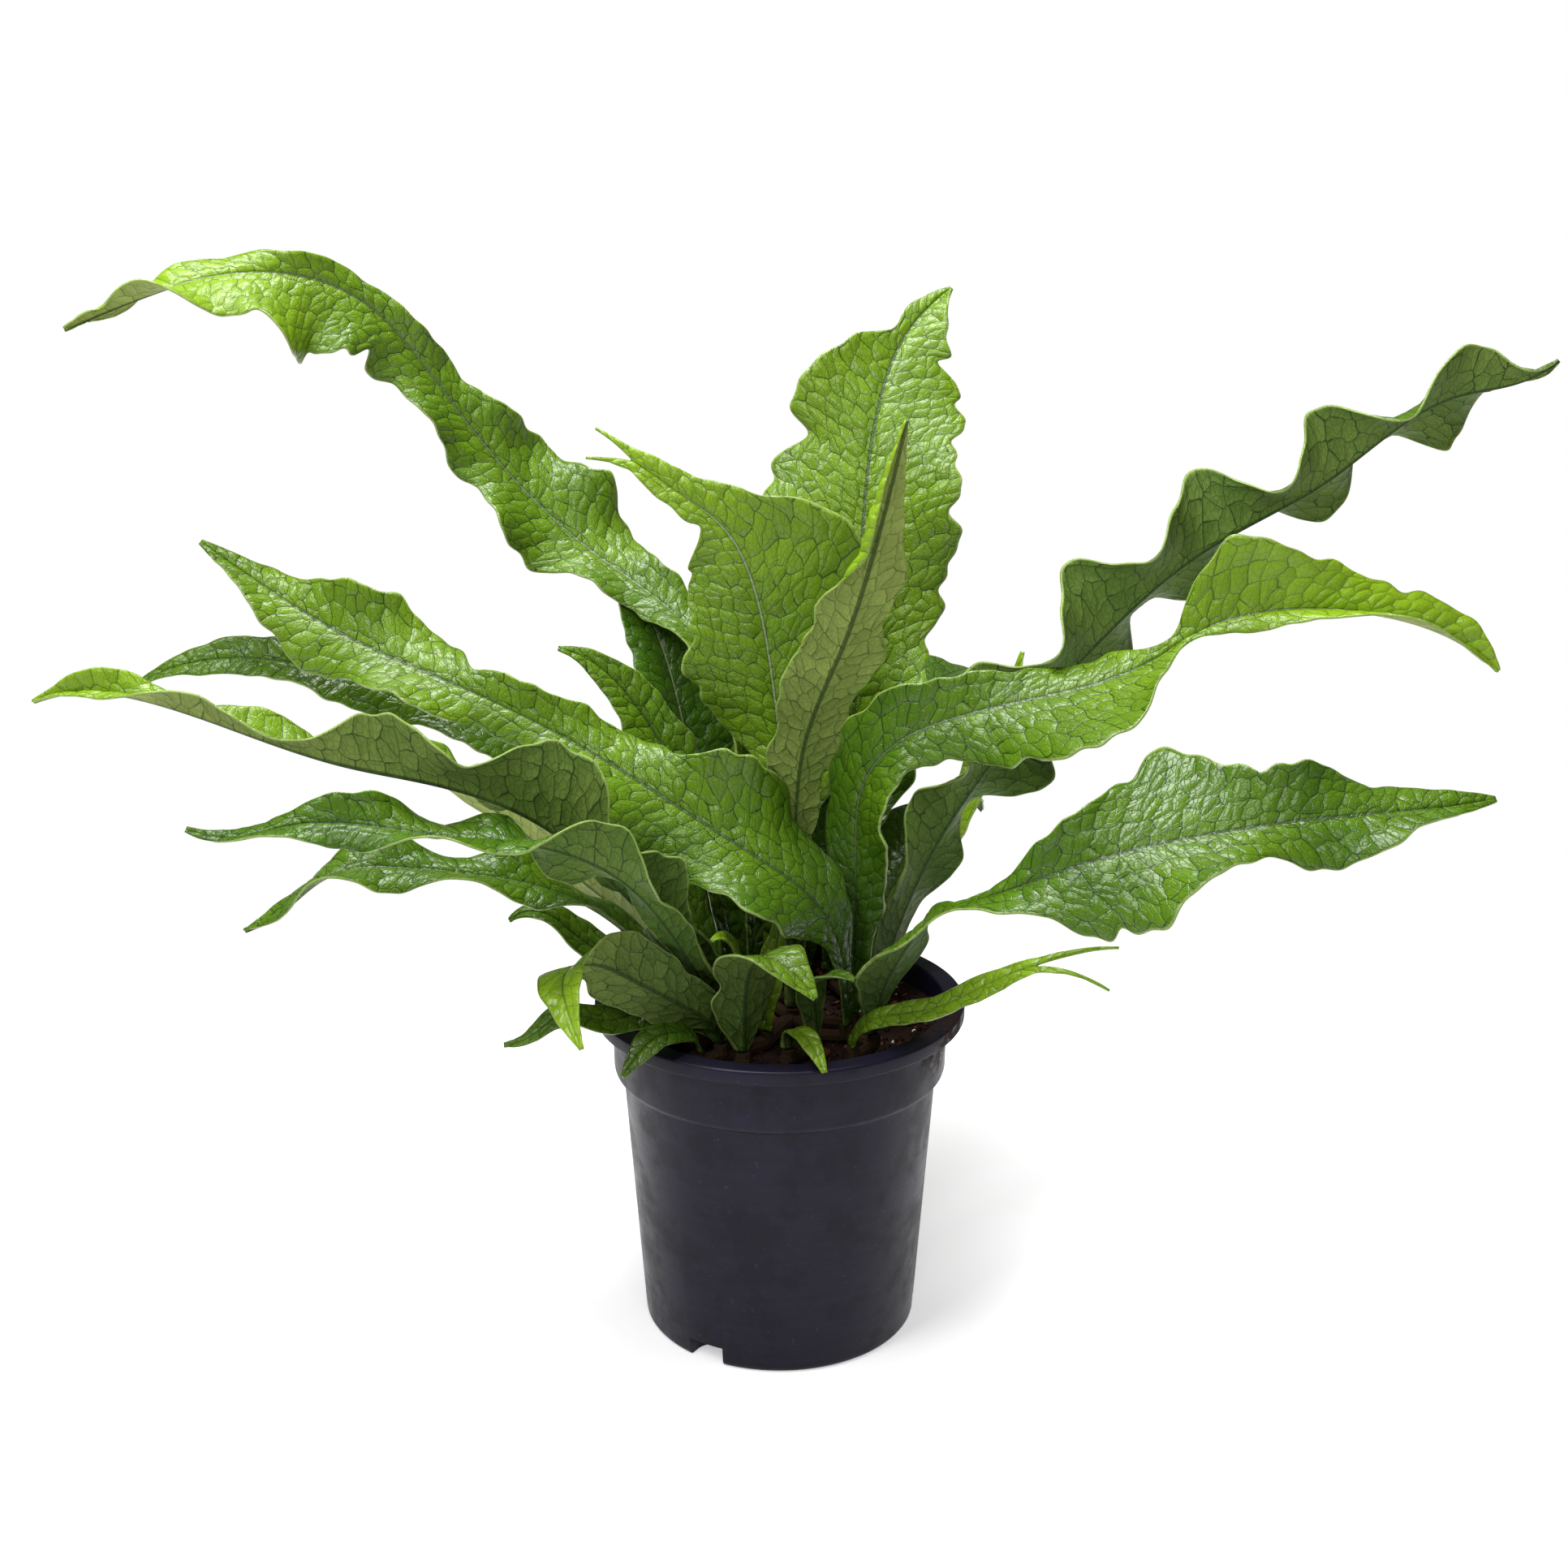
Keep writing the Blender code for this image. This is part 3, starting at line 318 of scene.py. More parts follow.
def blade_rows(foot, count, length, heading, lean, swerve, swing, breadth, right_breadth=None,
               roll=LEVEL, fold=SLIGHT_FOLD, phases=PLAIN_PHASES, wave=WAVE_LENGTH, flare=RUFFLE_FLARE):
    """Points of a frond's sheet, row by row from foot to tip, in centimetres.

    The blade's left side points across the heading and is rolled about the midrib, and
    both sides rise by the fold. The ruffles grow towards the edges and away from the
    stalk, and an edge is a little broader where it sinks, as a real ruffled edge is.
    A frond whose right half grows unlike its left one gives right_breadth too.
    """
    share, middle = grown_midrib(foot, length, heading, lean, swerve, count)
    travel = share * length
    left_half = np.maximum(evenly(breadth, share), TIP_HALF)
    right_half = np.maximum(evenly(right_breadth or breadth, share), TIP_HALF)
    tilt = np.radians(evenly(roll, share))[:, None]
    rise_angle = np.radians(evenly(fold, share))
    along = unit(np.gradient(middle, axis=0))
    turn = math.radians(heading)
    across = np.array([-math.sin(turn), math.cos(turn), 0.0])
    side = unit(across - along * (along @ across)[:, None])
    face = np.cross(along, side)
    left = side * np.cos(tilt) + face * np.sin(tilt)
    up = face * np.cos(tilt) - side * np.sin(tilt)
    sheet = []
    for place in ROW_STEPS:
        half = left_half if place > 0 else right_half
        ease = np.clip(travel / RUFFLE_START - RUFFLE_DELAY, 0.0, 1.0)
        ease = ease * np.clip(half / RUFFLE_HALF, 0.0, RUFFLE_MOST)
        cycle = 2 * math.pi * (travel / wave + (phases[0] if place > 0 else phases[1]))
        lift = swing * abs(place)**RUFFLE_POWER * np.sin(cycle) * ease
        width = half * (1.0 + flare * place**2 * np.cos(cycle) * ease)
        reach = width * place * np.cos(rise_angle)
        rise = half * abs(place) * np.sin(rise_angle) + lift
        sheet.append(middle + left * reach[:, None] + up * rise[:, None])
    return np.stack(sheet, axis=1)


# %% [markdown]
# ## The fronds
# All lists run evenly from foot to tip: lean is the midrib's angle above level, swerve its
# turn away from the heading (0 right, 90 back, 180 left, 270 front), roll the blade's turn
# about its midrib, fold how far both halves rise, all in degrees, and breadth is the half
# width in centimetres. Swing is how far the ruffled edges rise and sink, in centimetres too.
# Phases are in waves, for the left and the right edge. A frond that gives no roll, fold or
# phases takes the plain ones of the growth law. A tone of 0 is a grown, dark frond and 1 a
# young, lime one, and it may change from foot to tip. A rib's paleness also runs from 0 to 1.

# %% Table of fronds
FRONDS = (
    dict(name="frond_upper_left", foot=(-1.4, 2.6), length=53.5, heading=180, wave=5.5, flare=0.08,
         lean=(88, 86, 82, 42, 28, 43, 54, 51, 12, -14, -24), swerve=(-75, -60, -28, 12, 28, 28),
         roll=(-20, -30, -40, -45, -50, -50, -60, -40, 60), fold=(5, 5), swing=0.6, phases=(0.1, 0.45),
         breadth=(0.3, 0.4, 0.8, 1.0, 1.4, 2.6, 1.8, 2.2, 3.8, 2.0, 0.1),
         right_breadth=(0.3, 0.4, 0.8, 0.9, 1.6, 3.2, 1.8, 1.0, 1.0, 1.0, 0.1)),
    dict(name="frond_left_broad", foot=(3.0, -2.2), length=38.0, heading=170, wave=9.0,
         lean=(88, 76, 40, 33, 32, 28, 23, 20, 24, 31, 31), swerve=(60, 14, 2, 0, -5, -5),
         roll=(-20, -45, -50, -50, -45), fold=(5, 5), swing=1.0, phases=(0.3, 0.8),
         breadth=(0.3, 0.7, 2.6, 3.2, 2.4, 1.6, 1.2, 2.0, 2.1, 1.2, 0.1)),
    dict(name="frond_left_long", foot=(-2.6, -1.2), length=36.0, heading=190, wave=7.0,
         lean=(79, 47, 46, 48, 39, 24, 14, 20, 21, 10, -21), swerve=(46, 34, 25, 8, -6, -10, -10),
         roll=(30, 34, 40, 34, 0, -40), fold=(42, 42), swing=1.0,
         breadth=(0.3, 1.0, 1.7, 2.3, 2.6, 2.4, 2.0, 1.2, 0.8, 0.9, 0.1)),
    dict(name="frond_left_behind", foot=(-2.6, 1.2), length=34.2, heading=180, wave=8.0,
         lean=(80, 62, 55, 42, 29, 23, 19, 11, -8, -40), swerve=(-30, -8, 4, 6, 4),
         roll=(-20, -40, -45, -48, -35), fold=(5, 5), swing=0.5, phases=(0.0, 0.5),
         breadth=(0.3, 0.8, 1.5, 1.8, 1.7, 1.7, 1.5, 1.2, 0.7, 0.1)),
    dict(name="frond_left_pale", foot=(-3.8, 0.6), length=19.7, heading=180, lean=(75, 36, 38, 40, 28, 18),
         swerve=(-20, -12, -4, 0), roll=(10, 40, 40, 40), swing=0.25,
         breadth=(0.3, 1.2, 2.0, 2.0, 1.3, 0.1)),
    dict(name="frond_left_dark", foot=(-3.8, 2.4), length=12.5, heading=150, lean=(70, 28, 34, 34),
         swerve=(0, 0, 7), roll=(-20, -20), swing=0.3, breadth=(0.3, 1.3, 1.3, 0.1)),
    dict(name="frond_low_left", foot=(-2.8, -2.6), length=29.4, heading=190, wave=6.5,
         lean=(78, 52, 52, 50, 38, 22, 8, 12, 4, -14, 24), swerve=(60, 50, 34, 12, 0, -6, -10),
         roll=(30, 50, 50, 40, -20, -38, -10), swing=1.1, phases=(0.2, 0.7),
         breadth=(0.3, 0.8, 0.7, 1.0, 1.5, 1.6, 1.4, 1.4, 1.0, 0.6, 0.1)),
    dict(name="frond_low_left_curl", foot=(-4.0, -1.2), length=23.7, heading=190,
         lean=(80, 50, 44, 28, 15, 10, 0, -40, -20), swerve=(25, 10, 6, 4, 0, -8),
         roll=(0, -5, -20, -20, 15), swing=0.8, breadth=(0.3, 1.0, 1.2, 1.3, 1.3, 1.2, 1.4, 1.0, 0.1)),
    dict(name="frond_dark_curl", foot=(-4.8, -0.2), length=9.5, heading=190, lean=(70, 34, 34, 42, -42),
         swerve=(5, 0), roll=(0, -25, -25), swing=0.3, breadth=(0.3, 0.8, 1.0, 0.9, 0.1)),
    dict(name="frond_rim_lime", foot=(-2.6, -4.2), length=13.5, heading=230,
         lean=(70, 38, 34, 32, 0, -35, -45), swerve=(5, -20, -28, -28, 10, 60, 75),
         roll=(40, 60, 60, 60, 30, 0, -10), swing=0.2, breadth=(0.3, 1.2, 1.6, 1.8, 1.3, 0.8, 0.1)),
    dict(name="frond_rim_curl", foot=(-4.6, -3.0), length=9.6, heading=205, lean=(85, 16, 2, 26, -36, 0),
         swerve=(20, 15, 0, -15), roll=(-20, -30, -10), fold=(0, 0), swing=0.3,
         breadth=(0.3, 0.7, 0.8, 0.7, 0.6, 0.1)),
    dict(name="frond_rim_sprig", foot=(-3.6, -5.1), length=5.8, heading=225, lean=(85, 26, 10, -30, -45),
         swerve=(15, 5, 0), roll=(-30, -30), fold=(0, 0), swing=0.15, breadth=(0.3, 0.5, 0.6, 0.5, 0.1)),
    dict(name="frond_front_fold", foot=(-1.6, -5.2), length=8.4, heading=300, lean=(90, 84, 60, -20, -50),
         swerve=(0, 0, 10, 25, 30), swing=0.15, breadth=(0.3, 1.4, 1.7, 1.2, 0.1)),
    dict(name="frond_front_strip", foot=(0.4, -4.8), length=5.0, heading=300, lean=(85, 20, -12, -45),
         swerve=(-10, -10, -5), fold=(0, 0), swing=0.1, breadth=(0.3, 0.5, 0.5, 0.1)),
    dict(name="frond_front_small", foot=(1.6, -3.6), length=5.4, heading=310, lean=(90, 75, 30, -10),
         swerve=(-100, -60, 10, 5), swing=0.15, breadth=(0.3, 0.8, 0.8, 0.1)),
    dict(name="frond_rim_forked", foot=(3.2, -4.6), length=13.6, heading=330,
         lean=(75, 28, 22, 34, 30, 8, -12), swerve=(-10, -7, 5, 15, 20), roll=(40, 40), fold=(0, 0),
         swing=0.5, breadth=(0.3, 0.5, 0.6, 0.6, 0.5, 0.35, 0.1)),
    dict(name="frond_right_broad", foot=(4.2, -3.2), length=33.4, heading=345, wave=9.0,
         lean=(85, 55, 50, 28, 28, 22, 12, 8, 3, 2, 4), swerve=(-55, -45, -30, 5, 17, 23, 31),
         roll=(-20, -32, -5, 45, 50, 45, 40, 35), fold=(5, 5), swing=0.9, phases=(0.5, 0.9),
         breadth=(0.3, 1.5, 1.4, 0.7, 0.7, 2.0, 4.2, 2.2, 2.4, 1.2, 0.1),
         right_breadth=(0.3, 1.5, 1.6, 1.0, 1.6, 3.2, 2.7, 1.8, 1.9, 1.0, 0.1)),
    dict(name="frond_right_lime", foot=(3.4, -0.8), length=41.0, heading=355, wave=13.0,
         lean=(90, 90, 90, 88, 60, 28, 17, 14, 22, 34, 14, 0, -10, -24, -44),
         swerve=(-100, -105, -20, -3, 1, 5, 5, 5), roll=(60, 60, 55, 38, 42, 42, 42),
         fold=(5, 5, 5, 10, 38, 40), swing=0.9, phases=(0.0, 0.5),
         breadth=(0.3, 0.9, 1.5, 2.0, 2.2, 1.8, 1.6, 1.8, 1.5, 0.4, 2.6, 2.4, 2.0, 1.3, 0.1),
         right_breadth=(0.3, 0.9, 1.5, 2.0, 2.0, 1.6, 2.2, 3.4, 4.2, 0.4, 1.0, 1.2, 1.4, 1.2, 0.1)),
    dict(name="frond_upper_right", foot=(4.4, 0.6), length=42.3, heading=355,
         lean=(80, 72, 68, 60, 56, 50, 46, 46, 40, 32, 32, 42, 36, 12, 42),
         swerve=(5, 0, 12, 8, -4, -8, -10), roll=(-20, -45, -52, -50, -46, -40, -40),
         fold=(5, 5, 5, 10, 28, 8, 5), swing=1.3, phases=(0.6, 0.7),
         breadth=(0.3, 1.2, 1.6, 1.6, 2.4, 2.8, 2.7, 2.7, 2.7, 2.2, 2.0, 2.2, 2.2, 1.6, 0.1)),
    dict(name="frond_back_right_young", foot=(3.4, 2.0), length=18.0, heading=30, lean=(70, 45, 54, 64, 78),
         swerve=(0, 0), swing=0.2, breadth=(0.3, 0.8, 1.1, 1.1, 0.1)),
    dict(name="frond_top_tall", foot=(1.0, 3.2), length=34.4, heading=86, wave=11.0, flare=0.04,
         lean=(82, 72, 74, 78, 78, 76, 76, 74, 68, 60, 48, 30), swerve=(-70, -60, -20, -5, -12, -30, -70),
         fold=(5, 5), swing=0.6, phases=(0.55, 0.1),
         breadth=(0.3, 0.5, 0.9, 1.8, 3.0, 3.6, 4.6, 5.2, 4.0, 3.4, 1.3, 0.1),
         right_breadth=(0.3, 0.5, 0.9, 1.8, 3.0, 3.4, 3.8, 4.2, 4.2, 3.9, 2.4, 0.1)),
    dict(name="frond_top_forked", foot=(-0.4, 1.4), length=29.2, heading=90, wave=9.0,
         lean=(88, 87, 86, 82, 80, 82, 78, 66, 36, 34, 14),
         swerve=(-40, -60, -50, -30, 30, 65, 75, 80, 82, 82, 80), fold=(4, 4), swing=0.3, phases=(0.4, 0.9),
         breadth=(0.3, 0.4, 0.8, 1.1, 1.6, 2.9, 3.8, 3.0, 1.0, 0.6, 0.1),
         right_breadth=(0.3, 0.4, 0.8, 1.6, 2.8, 3.8, 4.4, 4.4, 1.6, 0.7, 0.1)),
    dict(name="frond_centre_pale", foot=(0.6, -0.2), length=28.6, heading=280, wave=4.5,
         lean=(96, 96, 92, 82, 70, 61, 62, 70, 74, 76, 78), swerve=(-25, -15, 0, 20, 45, 55, 65),
         fold=(6, 6, 6, 10, 45), swing=0.15,
         breadth=(0.3, 0.5, 0.6, 0.9, 1.3, 1.6, 1.8, 1.7, 1.5, 0.8, 0.1)),
    dict(name="frond_centre_left", foot=(-2.6, 4.8), length=22.8, heading=120,
         lean=(86, 80, 77, 75, 72, 62, 40, -25), swerve=(35, 22, 20, 55), fold=(5, 5), swing=0.3,
         breadth=(0.3, 0.6, 1.2, 2.0, 2.3, 1.7, 0.8, 0.1)),
    dict(name="frond_centre_left_small", foot=(-2.6, 3.4), length=18.6, heading=170,
         lean=(88, 82, 76, 67, 60, 48, 14), swerve=(-4, -4, 8, 20), roll=(-5, -25, -45, -50, -40),
         fold=(5, 5), swing=0.25, breadth=(0.3, 0.5, 0.7, 1.1, 1.5, 0.9, 0.1)),
    dict(name="frond_inner_young", foot=(-0.6, -2.8), length=5.6, heading=60, lean=(88, 70, 78),
         swerve=(0, 0), swing=0.1, breadth=(0.3, 0.7, 0.1)),
    dict(name="frond_inner_pale", foot=(-1.6, -3.6), length=6.6, heading=180, lean=(88, 82, 62, -5),
         swerve=(60, 60), swing=0.1, breadth=(0.3, 0.6, 0.6, 0.1)),
    dict(name="frond_core_left", foot=(-1.3, 3.6), length=9.6, heading=95, lean=(88, 84, 80, 74),
         swerve=(0, 0), fold=(8, 8), swing=0.2, phases=(0.3, 0.8), breadth=(0.3, 1.3, 1.5, 0.1)),
    dict(name="frond_core_right", foot=(0.6, 2.4), length=15.0, heading=80, lean=(88, 85, 82, 80, 78),
         swerve=(-30, -20), fold=(8, 8), swing=0.2, phases=(0.1, 0.6), breadth=(0.3, 0.7, 1.4, 1.5, 0.1)),
    dict(name="frond_back_left", foot=(-1.2, 4.6), length=29.0, heading=112,
         lean=(82, 60, 46, 18, -18, -45), swerve=(-20, -5, 5), fold=(8, 8), swing=0.45, phases=(0.2, 0.7),
         breadth=(0.3, 1.0, 2.0, 2.4, 1.8, 0.1)),
    dict(name="frond_back_centre", foot=(0.4, 4.8), length=31.0, heading=85,
         lean=(82, 62, 52, 22, -14, -45), swerve=(0, 0), fold=(8, 8), swing=0.45, phases=(0.5, 0.0),
         breadth=(0.3, 1.0, 2.2, 2.4, 1.8, 0.1)),
    dict(name="frond_back_right", foot=(2.4, 4.2), length=26.5, heading=55, lean=(82, 56, 42, 16, -12, -40),
         swerve=(10, 0), fold=(8, 8), swing=0.45, phases=(0.0, 0.3),
         breadth=(0.3, 1.0, 2.0, 2.2, 1.6, 0.1)),
    dict(name="frond_back_low_right", foot=(4.4, 2.6), length=17.0, heading=62, lean=(78, 44, 22, -8, -40),
         swerve=(10, 0, 0), fold=(8, 8), swing=0.35, phases=(0.8, 0.3), breadth=(0.3, 1.2, 1.6, 1.4, 0.1)),
)

# The dark tone at frond_left_broad's foot is painted shade, from the fronds that hang over it.
TONES = {
    "frond_upper_left": (0.3, 0.3, 0.35, 0.4, 1.2), "frond_left_broad": (0.0, 0.2, 0.4, 0.4),
    "frond_left_long": (0.1, 0.15, 0.45, 0.9), "frond_left_pale": (0.9, 1.0),
    "frond_low_left": (0.1, 0.1, 0.1), "frond_rim_lime": (0.1, 0.4, 1.4),
    "frond_right_broad": (0.1, 0.15, 0.2), "frond_right_lime": (0.0, 0.05, 0.15, 0.4, 0.9, 1.1),
    "frond_upper_right": (0.1, 0.15, 0.3), "frond_top_tall": (0.35, 0.45, 0.55),
    "frond_top_forked": (0.4, 0.45, 0.5, 1.0), "frond_centre_pale": (0.4, 0.5, 0.7, 1.3),
    "frond_rim_forked": (0.4, 0.7, 1.0), "frond_front_fold": (0.1, 0.5), "frond_front_strip": (0.7, 0.9),
    "frond_centre_left": (0.0, 0.05), "frond_core_left": (0.0, 0.0), "frond_core_right": (0.0, 0.0),
    "frond_inner_young": (0.9, 1.0), "frond_inner_pale": (0.6, 0.9),
    "frond_back_right_young": (0.6, 1.0)}
PLAIN_TONE = (0.15, 0.2)
PALE_RIBS = {"frond_top_forked": 1.0, "frond_centre_left": 1.0, "frond_right_lime": 0.35,
             "frond_core_right": 0.6, "frond_upper_left": 0.5}
PLAIN_RIB = 0.15
print("fronds", len(FRONDS))

# %% [markdown]
# ## Torn edges, forked tips and a curled edge
# Real fronds are seldom whole. A bite narrows one edge over a short way, and is given as the
# side (1 left, -1 right), its place along the frond and its length in centimetres, and how
# much of the half width it takes. A fork parts a tip into two tongues from a share of the
# frond's length on, moves each out by a few millimetres, given in centimetres, and thins it to
# a share of its width. A roll curls one edge round to the underside from a share of the length
# on, as on a leaf that is still opening. It starts near the midrib, and where it starts and
# its radius are in shares of the half width.

# %% Bites, forks and rolls
BITES = {
    "frond_upper_left": ((1, 51.8, 0.5, 0.6), (-1, 52.6, 0.4, 0.7), (1, 38.2, 0.5, 0.35)),
    "frond_top_tall": ((-1, 30.6, 0.5, 0.35), (1, 31.2, 0.9, 0.55), (1, 25.5, 0.6, 0.2)),
    "frond_top_forked": ((1, 23.0, 0.5, 0.5), (-1, 16.0, 0.5, 0.15)),
    "frond_centre_left": ((-1, 15.0, 0.6, 0.35), (1, 19.5, 0.4, 0.5), (-1, 10.0, 0.5, 0.3)),
    "frond_left_broad": ((-1, 24.5, 0.5, 0.25), (1, 17.0, 0.4, 0.1)),
    "frond_right_broad": ((-1, 17.2, 0.4, 0.15), (1, 24.0, 0.5, 0.2)),
    "frond_right_lime": ((1, 36.0, 0.5, 0.2),),
    "frond_front_fold": ((1, 5.6, 0.4, 0.3), (-1, 3.2, 0.5, 0.25)),
    "frond_rim_lime": ((-1, 7.5, 0.4, 0.2),)}
FORKS = {"frond_top_forked": (0.93, 0.7), "frond_rim_forked": (0.76, 0.9)}
TONGUE_SHARE = 0.3
ROLLS = {"frond_centre_pale": (-1, 0.7)}
ROLL_FROM = 0.1
ROLL_RADIUS = 0.3
ROLL_EASE = 0.1

# %% [markdown]
# ## From growth to a sheet
# Each blade starts as a flat grid. Its points are moved to their places on the grown blade,
# so that every row of the grid crosses the midrib. Three attributes stay on the points: where
# a point is on the blade, the frond's tone there, and how pale its midrib is. The veins follow
# the first one, so they bend with the blade. Small extra ripples make the edge less even than
# a formula. Most lengths are still in centimetres here, and the finished points are in metres.

# %% Fine sheet
ROW_STEP = 0.12
LEAST_ROWS = 24
EDGE_RIPPLE = 0.05
RIPPLE_WAVES = (3.1, 1.9, 1.2)


def edge_ripples(travel, seed):
    """Small uneven bulges of the two edges, in shares of the half width."""
    luck = random.Random(seed)
    ripples = np.zeros_like(travel)
    for wave in RIPPLE_WAVES:
        ripples += np.sin(2 * math.pi * (travel / wave + luck.random())) * wave / RIPPLE_WAVES[0]
    return EDGE_RIPPLE * ripples


def blade_sheet(frond, index):
    """Fine points of a blade in metres, with its place across and along in metres."""
    growth = {key: value for key, value in frond.items() if key not in ("name", "foot")}
    length = frond["length"]
    count = max(LEAST_ROWS, round(length / ROW_STEP))
    foot = (*frond["foot"], STUB_TOP + FOOT_GAP)
    sheet = blade_rows(foot, count, **growth)
    share = np.linspace(0.0, 1.0, count)
    travel = share * length
    middle = sheet[:, PLACES_ACROSS // 2]
    for column, place in enumerate(ROW_STEPS):
        ripple = edge_ripples(travel, index * 2 + int(place > 0)) * place**2
        sheet[:, column] += (sheet[:, column] - middle) * ripple[:, None]
    middle = middle.copy()
    for side, place, reach, depth in BITES.get(frond["name"], ()):
        bite = depth * np.exp(-((travel - place) / reach)**2)
        for column, step in enumerate(ROW_STEPS):
            if step * side > 0:
                sheet[:, column] -= (sheet[:, column] - middle) * (bite * abs(step))[:, None]
    sheet[0, :, 2] = STUB_TOP + FOOT_GAP
    halves = [np.maximum(evenly(frond[side], share), TIP_HALF)
              for side in ("breadth", "right_breadth" if "right_breadth" in frond else "breadth")]
    across = np.stack([place * halves[int(place < 0)] for place in ROW_STEPS], axis=1)
    along = np.repeat(travel[:, None], PLACES_ACROSS, axis=1)
    sheet = roll_margin(frond, fork_rows(frond, sheet, share), share)
    return sheet * CM, across * CM, along * CM


def fork_rows(frond, sheet, share):
    """Part the tip of a forked frond into two tongues."""
    if frond["name"] not in FORKS:
        return sheet
    start, spread = FORKS[frond["name"]]
    middle = sheet[:, PLACES_ACROSS // 2].copy()
    outward = unit(sheet[:, 0] - sheet[:, -1])
    part = np.clip((share - start) / (1.0 - start), 0.0, 1.0)[:, None]
    for column, step in enumerate(ROW_STEPS):
        side = np.sign(step)
        own = sheet[:, column] - middle
        tongue = outward * side * spread * part + own * (1.0 - part * (1.0 - TONGUE_SHARE))
        sheet[:, column] = middle + np.where(part > 0, tongue, own)
    return sheet


def roll_margin(frond, sheet, share):
    """Curl one margin round to the underside towards the tip."""
    if frond["name"] not in ROLLS:
        return sheet
    side, start = ROLLS[frond["name"]]
    middle = sheet[:, PLACES_ACROSS // 2].copy()
    edge = sheet[:, 0 if side > 0 else -1] - middle
    half = np.linalg.norm(edge, axis=1, keepdims=True)
    lateral = edge / half
    under = np.cross(lateral, unit(np.gradient(middle, axis=0))) * side
    amount = np.clip((share - start) / ROLL_EASE, 0.0, 1.0)[:, None]
    for column, step in enumerate(ROW_STEPS):
        if step * side > ROLL_FROM:
            turn = (abs(step) - ROLL_FROM) / ROLL_RADIUS
            out = ROLL_FROM + ROLL_RADIUS * math.sin(turn)
            up = ROLL_RADIUS * (1.0 - math.cos(turn))
            rolled = middle + (lateral * out + under * up) * half
            sheet[:, column] += (rolled - sheet[:, column]) * amount
    return sheet


def sheet_object(frond, index):
    """Grid primitive bent into a frond's blade, with its attributes."""
    sheet, across, along = blade_sheet(frond, index)
    rows = len(sheet)
    bpy.ops.object.select_all(action="DESELECT")
    bpy.ops.mesh.primitive_grid_add(x_subdivisions=PLACES_ACROSS - 1, y_subdivisions=rows - 1, size=1)
    blade = bpy.context.object
    blade.name = frond["name"] + "_blade"
    mesh = blade.data
    mesh.vertices.foreach_set("co", sheet.reshape(-1))
    places = np.repeat(np.array(ROW_STEPS)[None], rows, axis=0)
    spots = np.stack((across, along, places), axis=2).reshape(-1)
    mesh.attributes.new("spot", "FLOAT_VECTOR", "POINT").data.foreach_set("vector", spots)
    share = np.linspace(0.0, 1.0, rows)
    tone = evenly(TONES.get(frond["name"], PLAIN_TONE), share)
    tones = np.repeat(tone[:, None], PLACES_ACROSS, axis=1).reshape(-1)
    mesh.attributes.new("tone", "FLOAT", "POINT").data.foreach_set("value", tones)
    pale = np.full(rows * PLACES_ACROSS, PALE_RIBS.get(frond["name"], PLAIN_RIB))
    mesh.attributes.new("pale_rib", "FLOAT", "POINT").data.foreach_set("value", pale)
    mesh.update()
    if frond["name"] in FORKS:
        open_fork(mesh, rows, FORKS[frond["name"]][0])
    return blade, rows


def open_fork(mesh, rows, start):
    """Take out the points along the midrib from the fork's start to the tip."""
    middle = PLACES_ACROSS // 2
    bpy.ops.object.mode_set(mode="EDIT")
    bpy.ops.mesh.select_mode(type="VERT")
    bpy.ops.mesh.select_all(action="DESELECT")
    bpy.ops.object.mode_set(mode="OBJECT")
    for row in range(math.ceil(start * (rows - 1)) + 1, rows):
        mesh.vertices[row * PLACES_ACROSS + middle].select = True
    bpy.ops.object.mode_set(mode="EDIT")
    bpy.ops.mesh.delete(type="VERT")
    bpy.ops.object.mode_set(mode="OBJECT")


# %% [markdown]
# ## The crocodile skin
# Slanted side veins leave the midrib every centimetre or so, and between them a net of finer
# veins holds small scales, which bulge upwards. A Voronoi texture's distance to its edges
# gives such a net. The same few nodes are used twice: in a geometry modifier that lifts the
# scales out of the blade, and in the material that darkens the veins between them.

# %% Vein net
SIDE_VEIN_GAP = 0.0125
SCALE_LENGTH = 0.0068
VEIN_SLANT = 0.5
VEIN_SWAY = 0.004
SWAY_SCALE = 110.0
DRIFT_SCALE = 140.0
HALVES_APART = 14.0
NET_RANDOMNESS = 0.75
DOME_WIDTH = 0.0028
RIB_SPREAD = 0.018


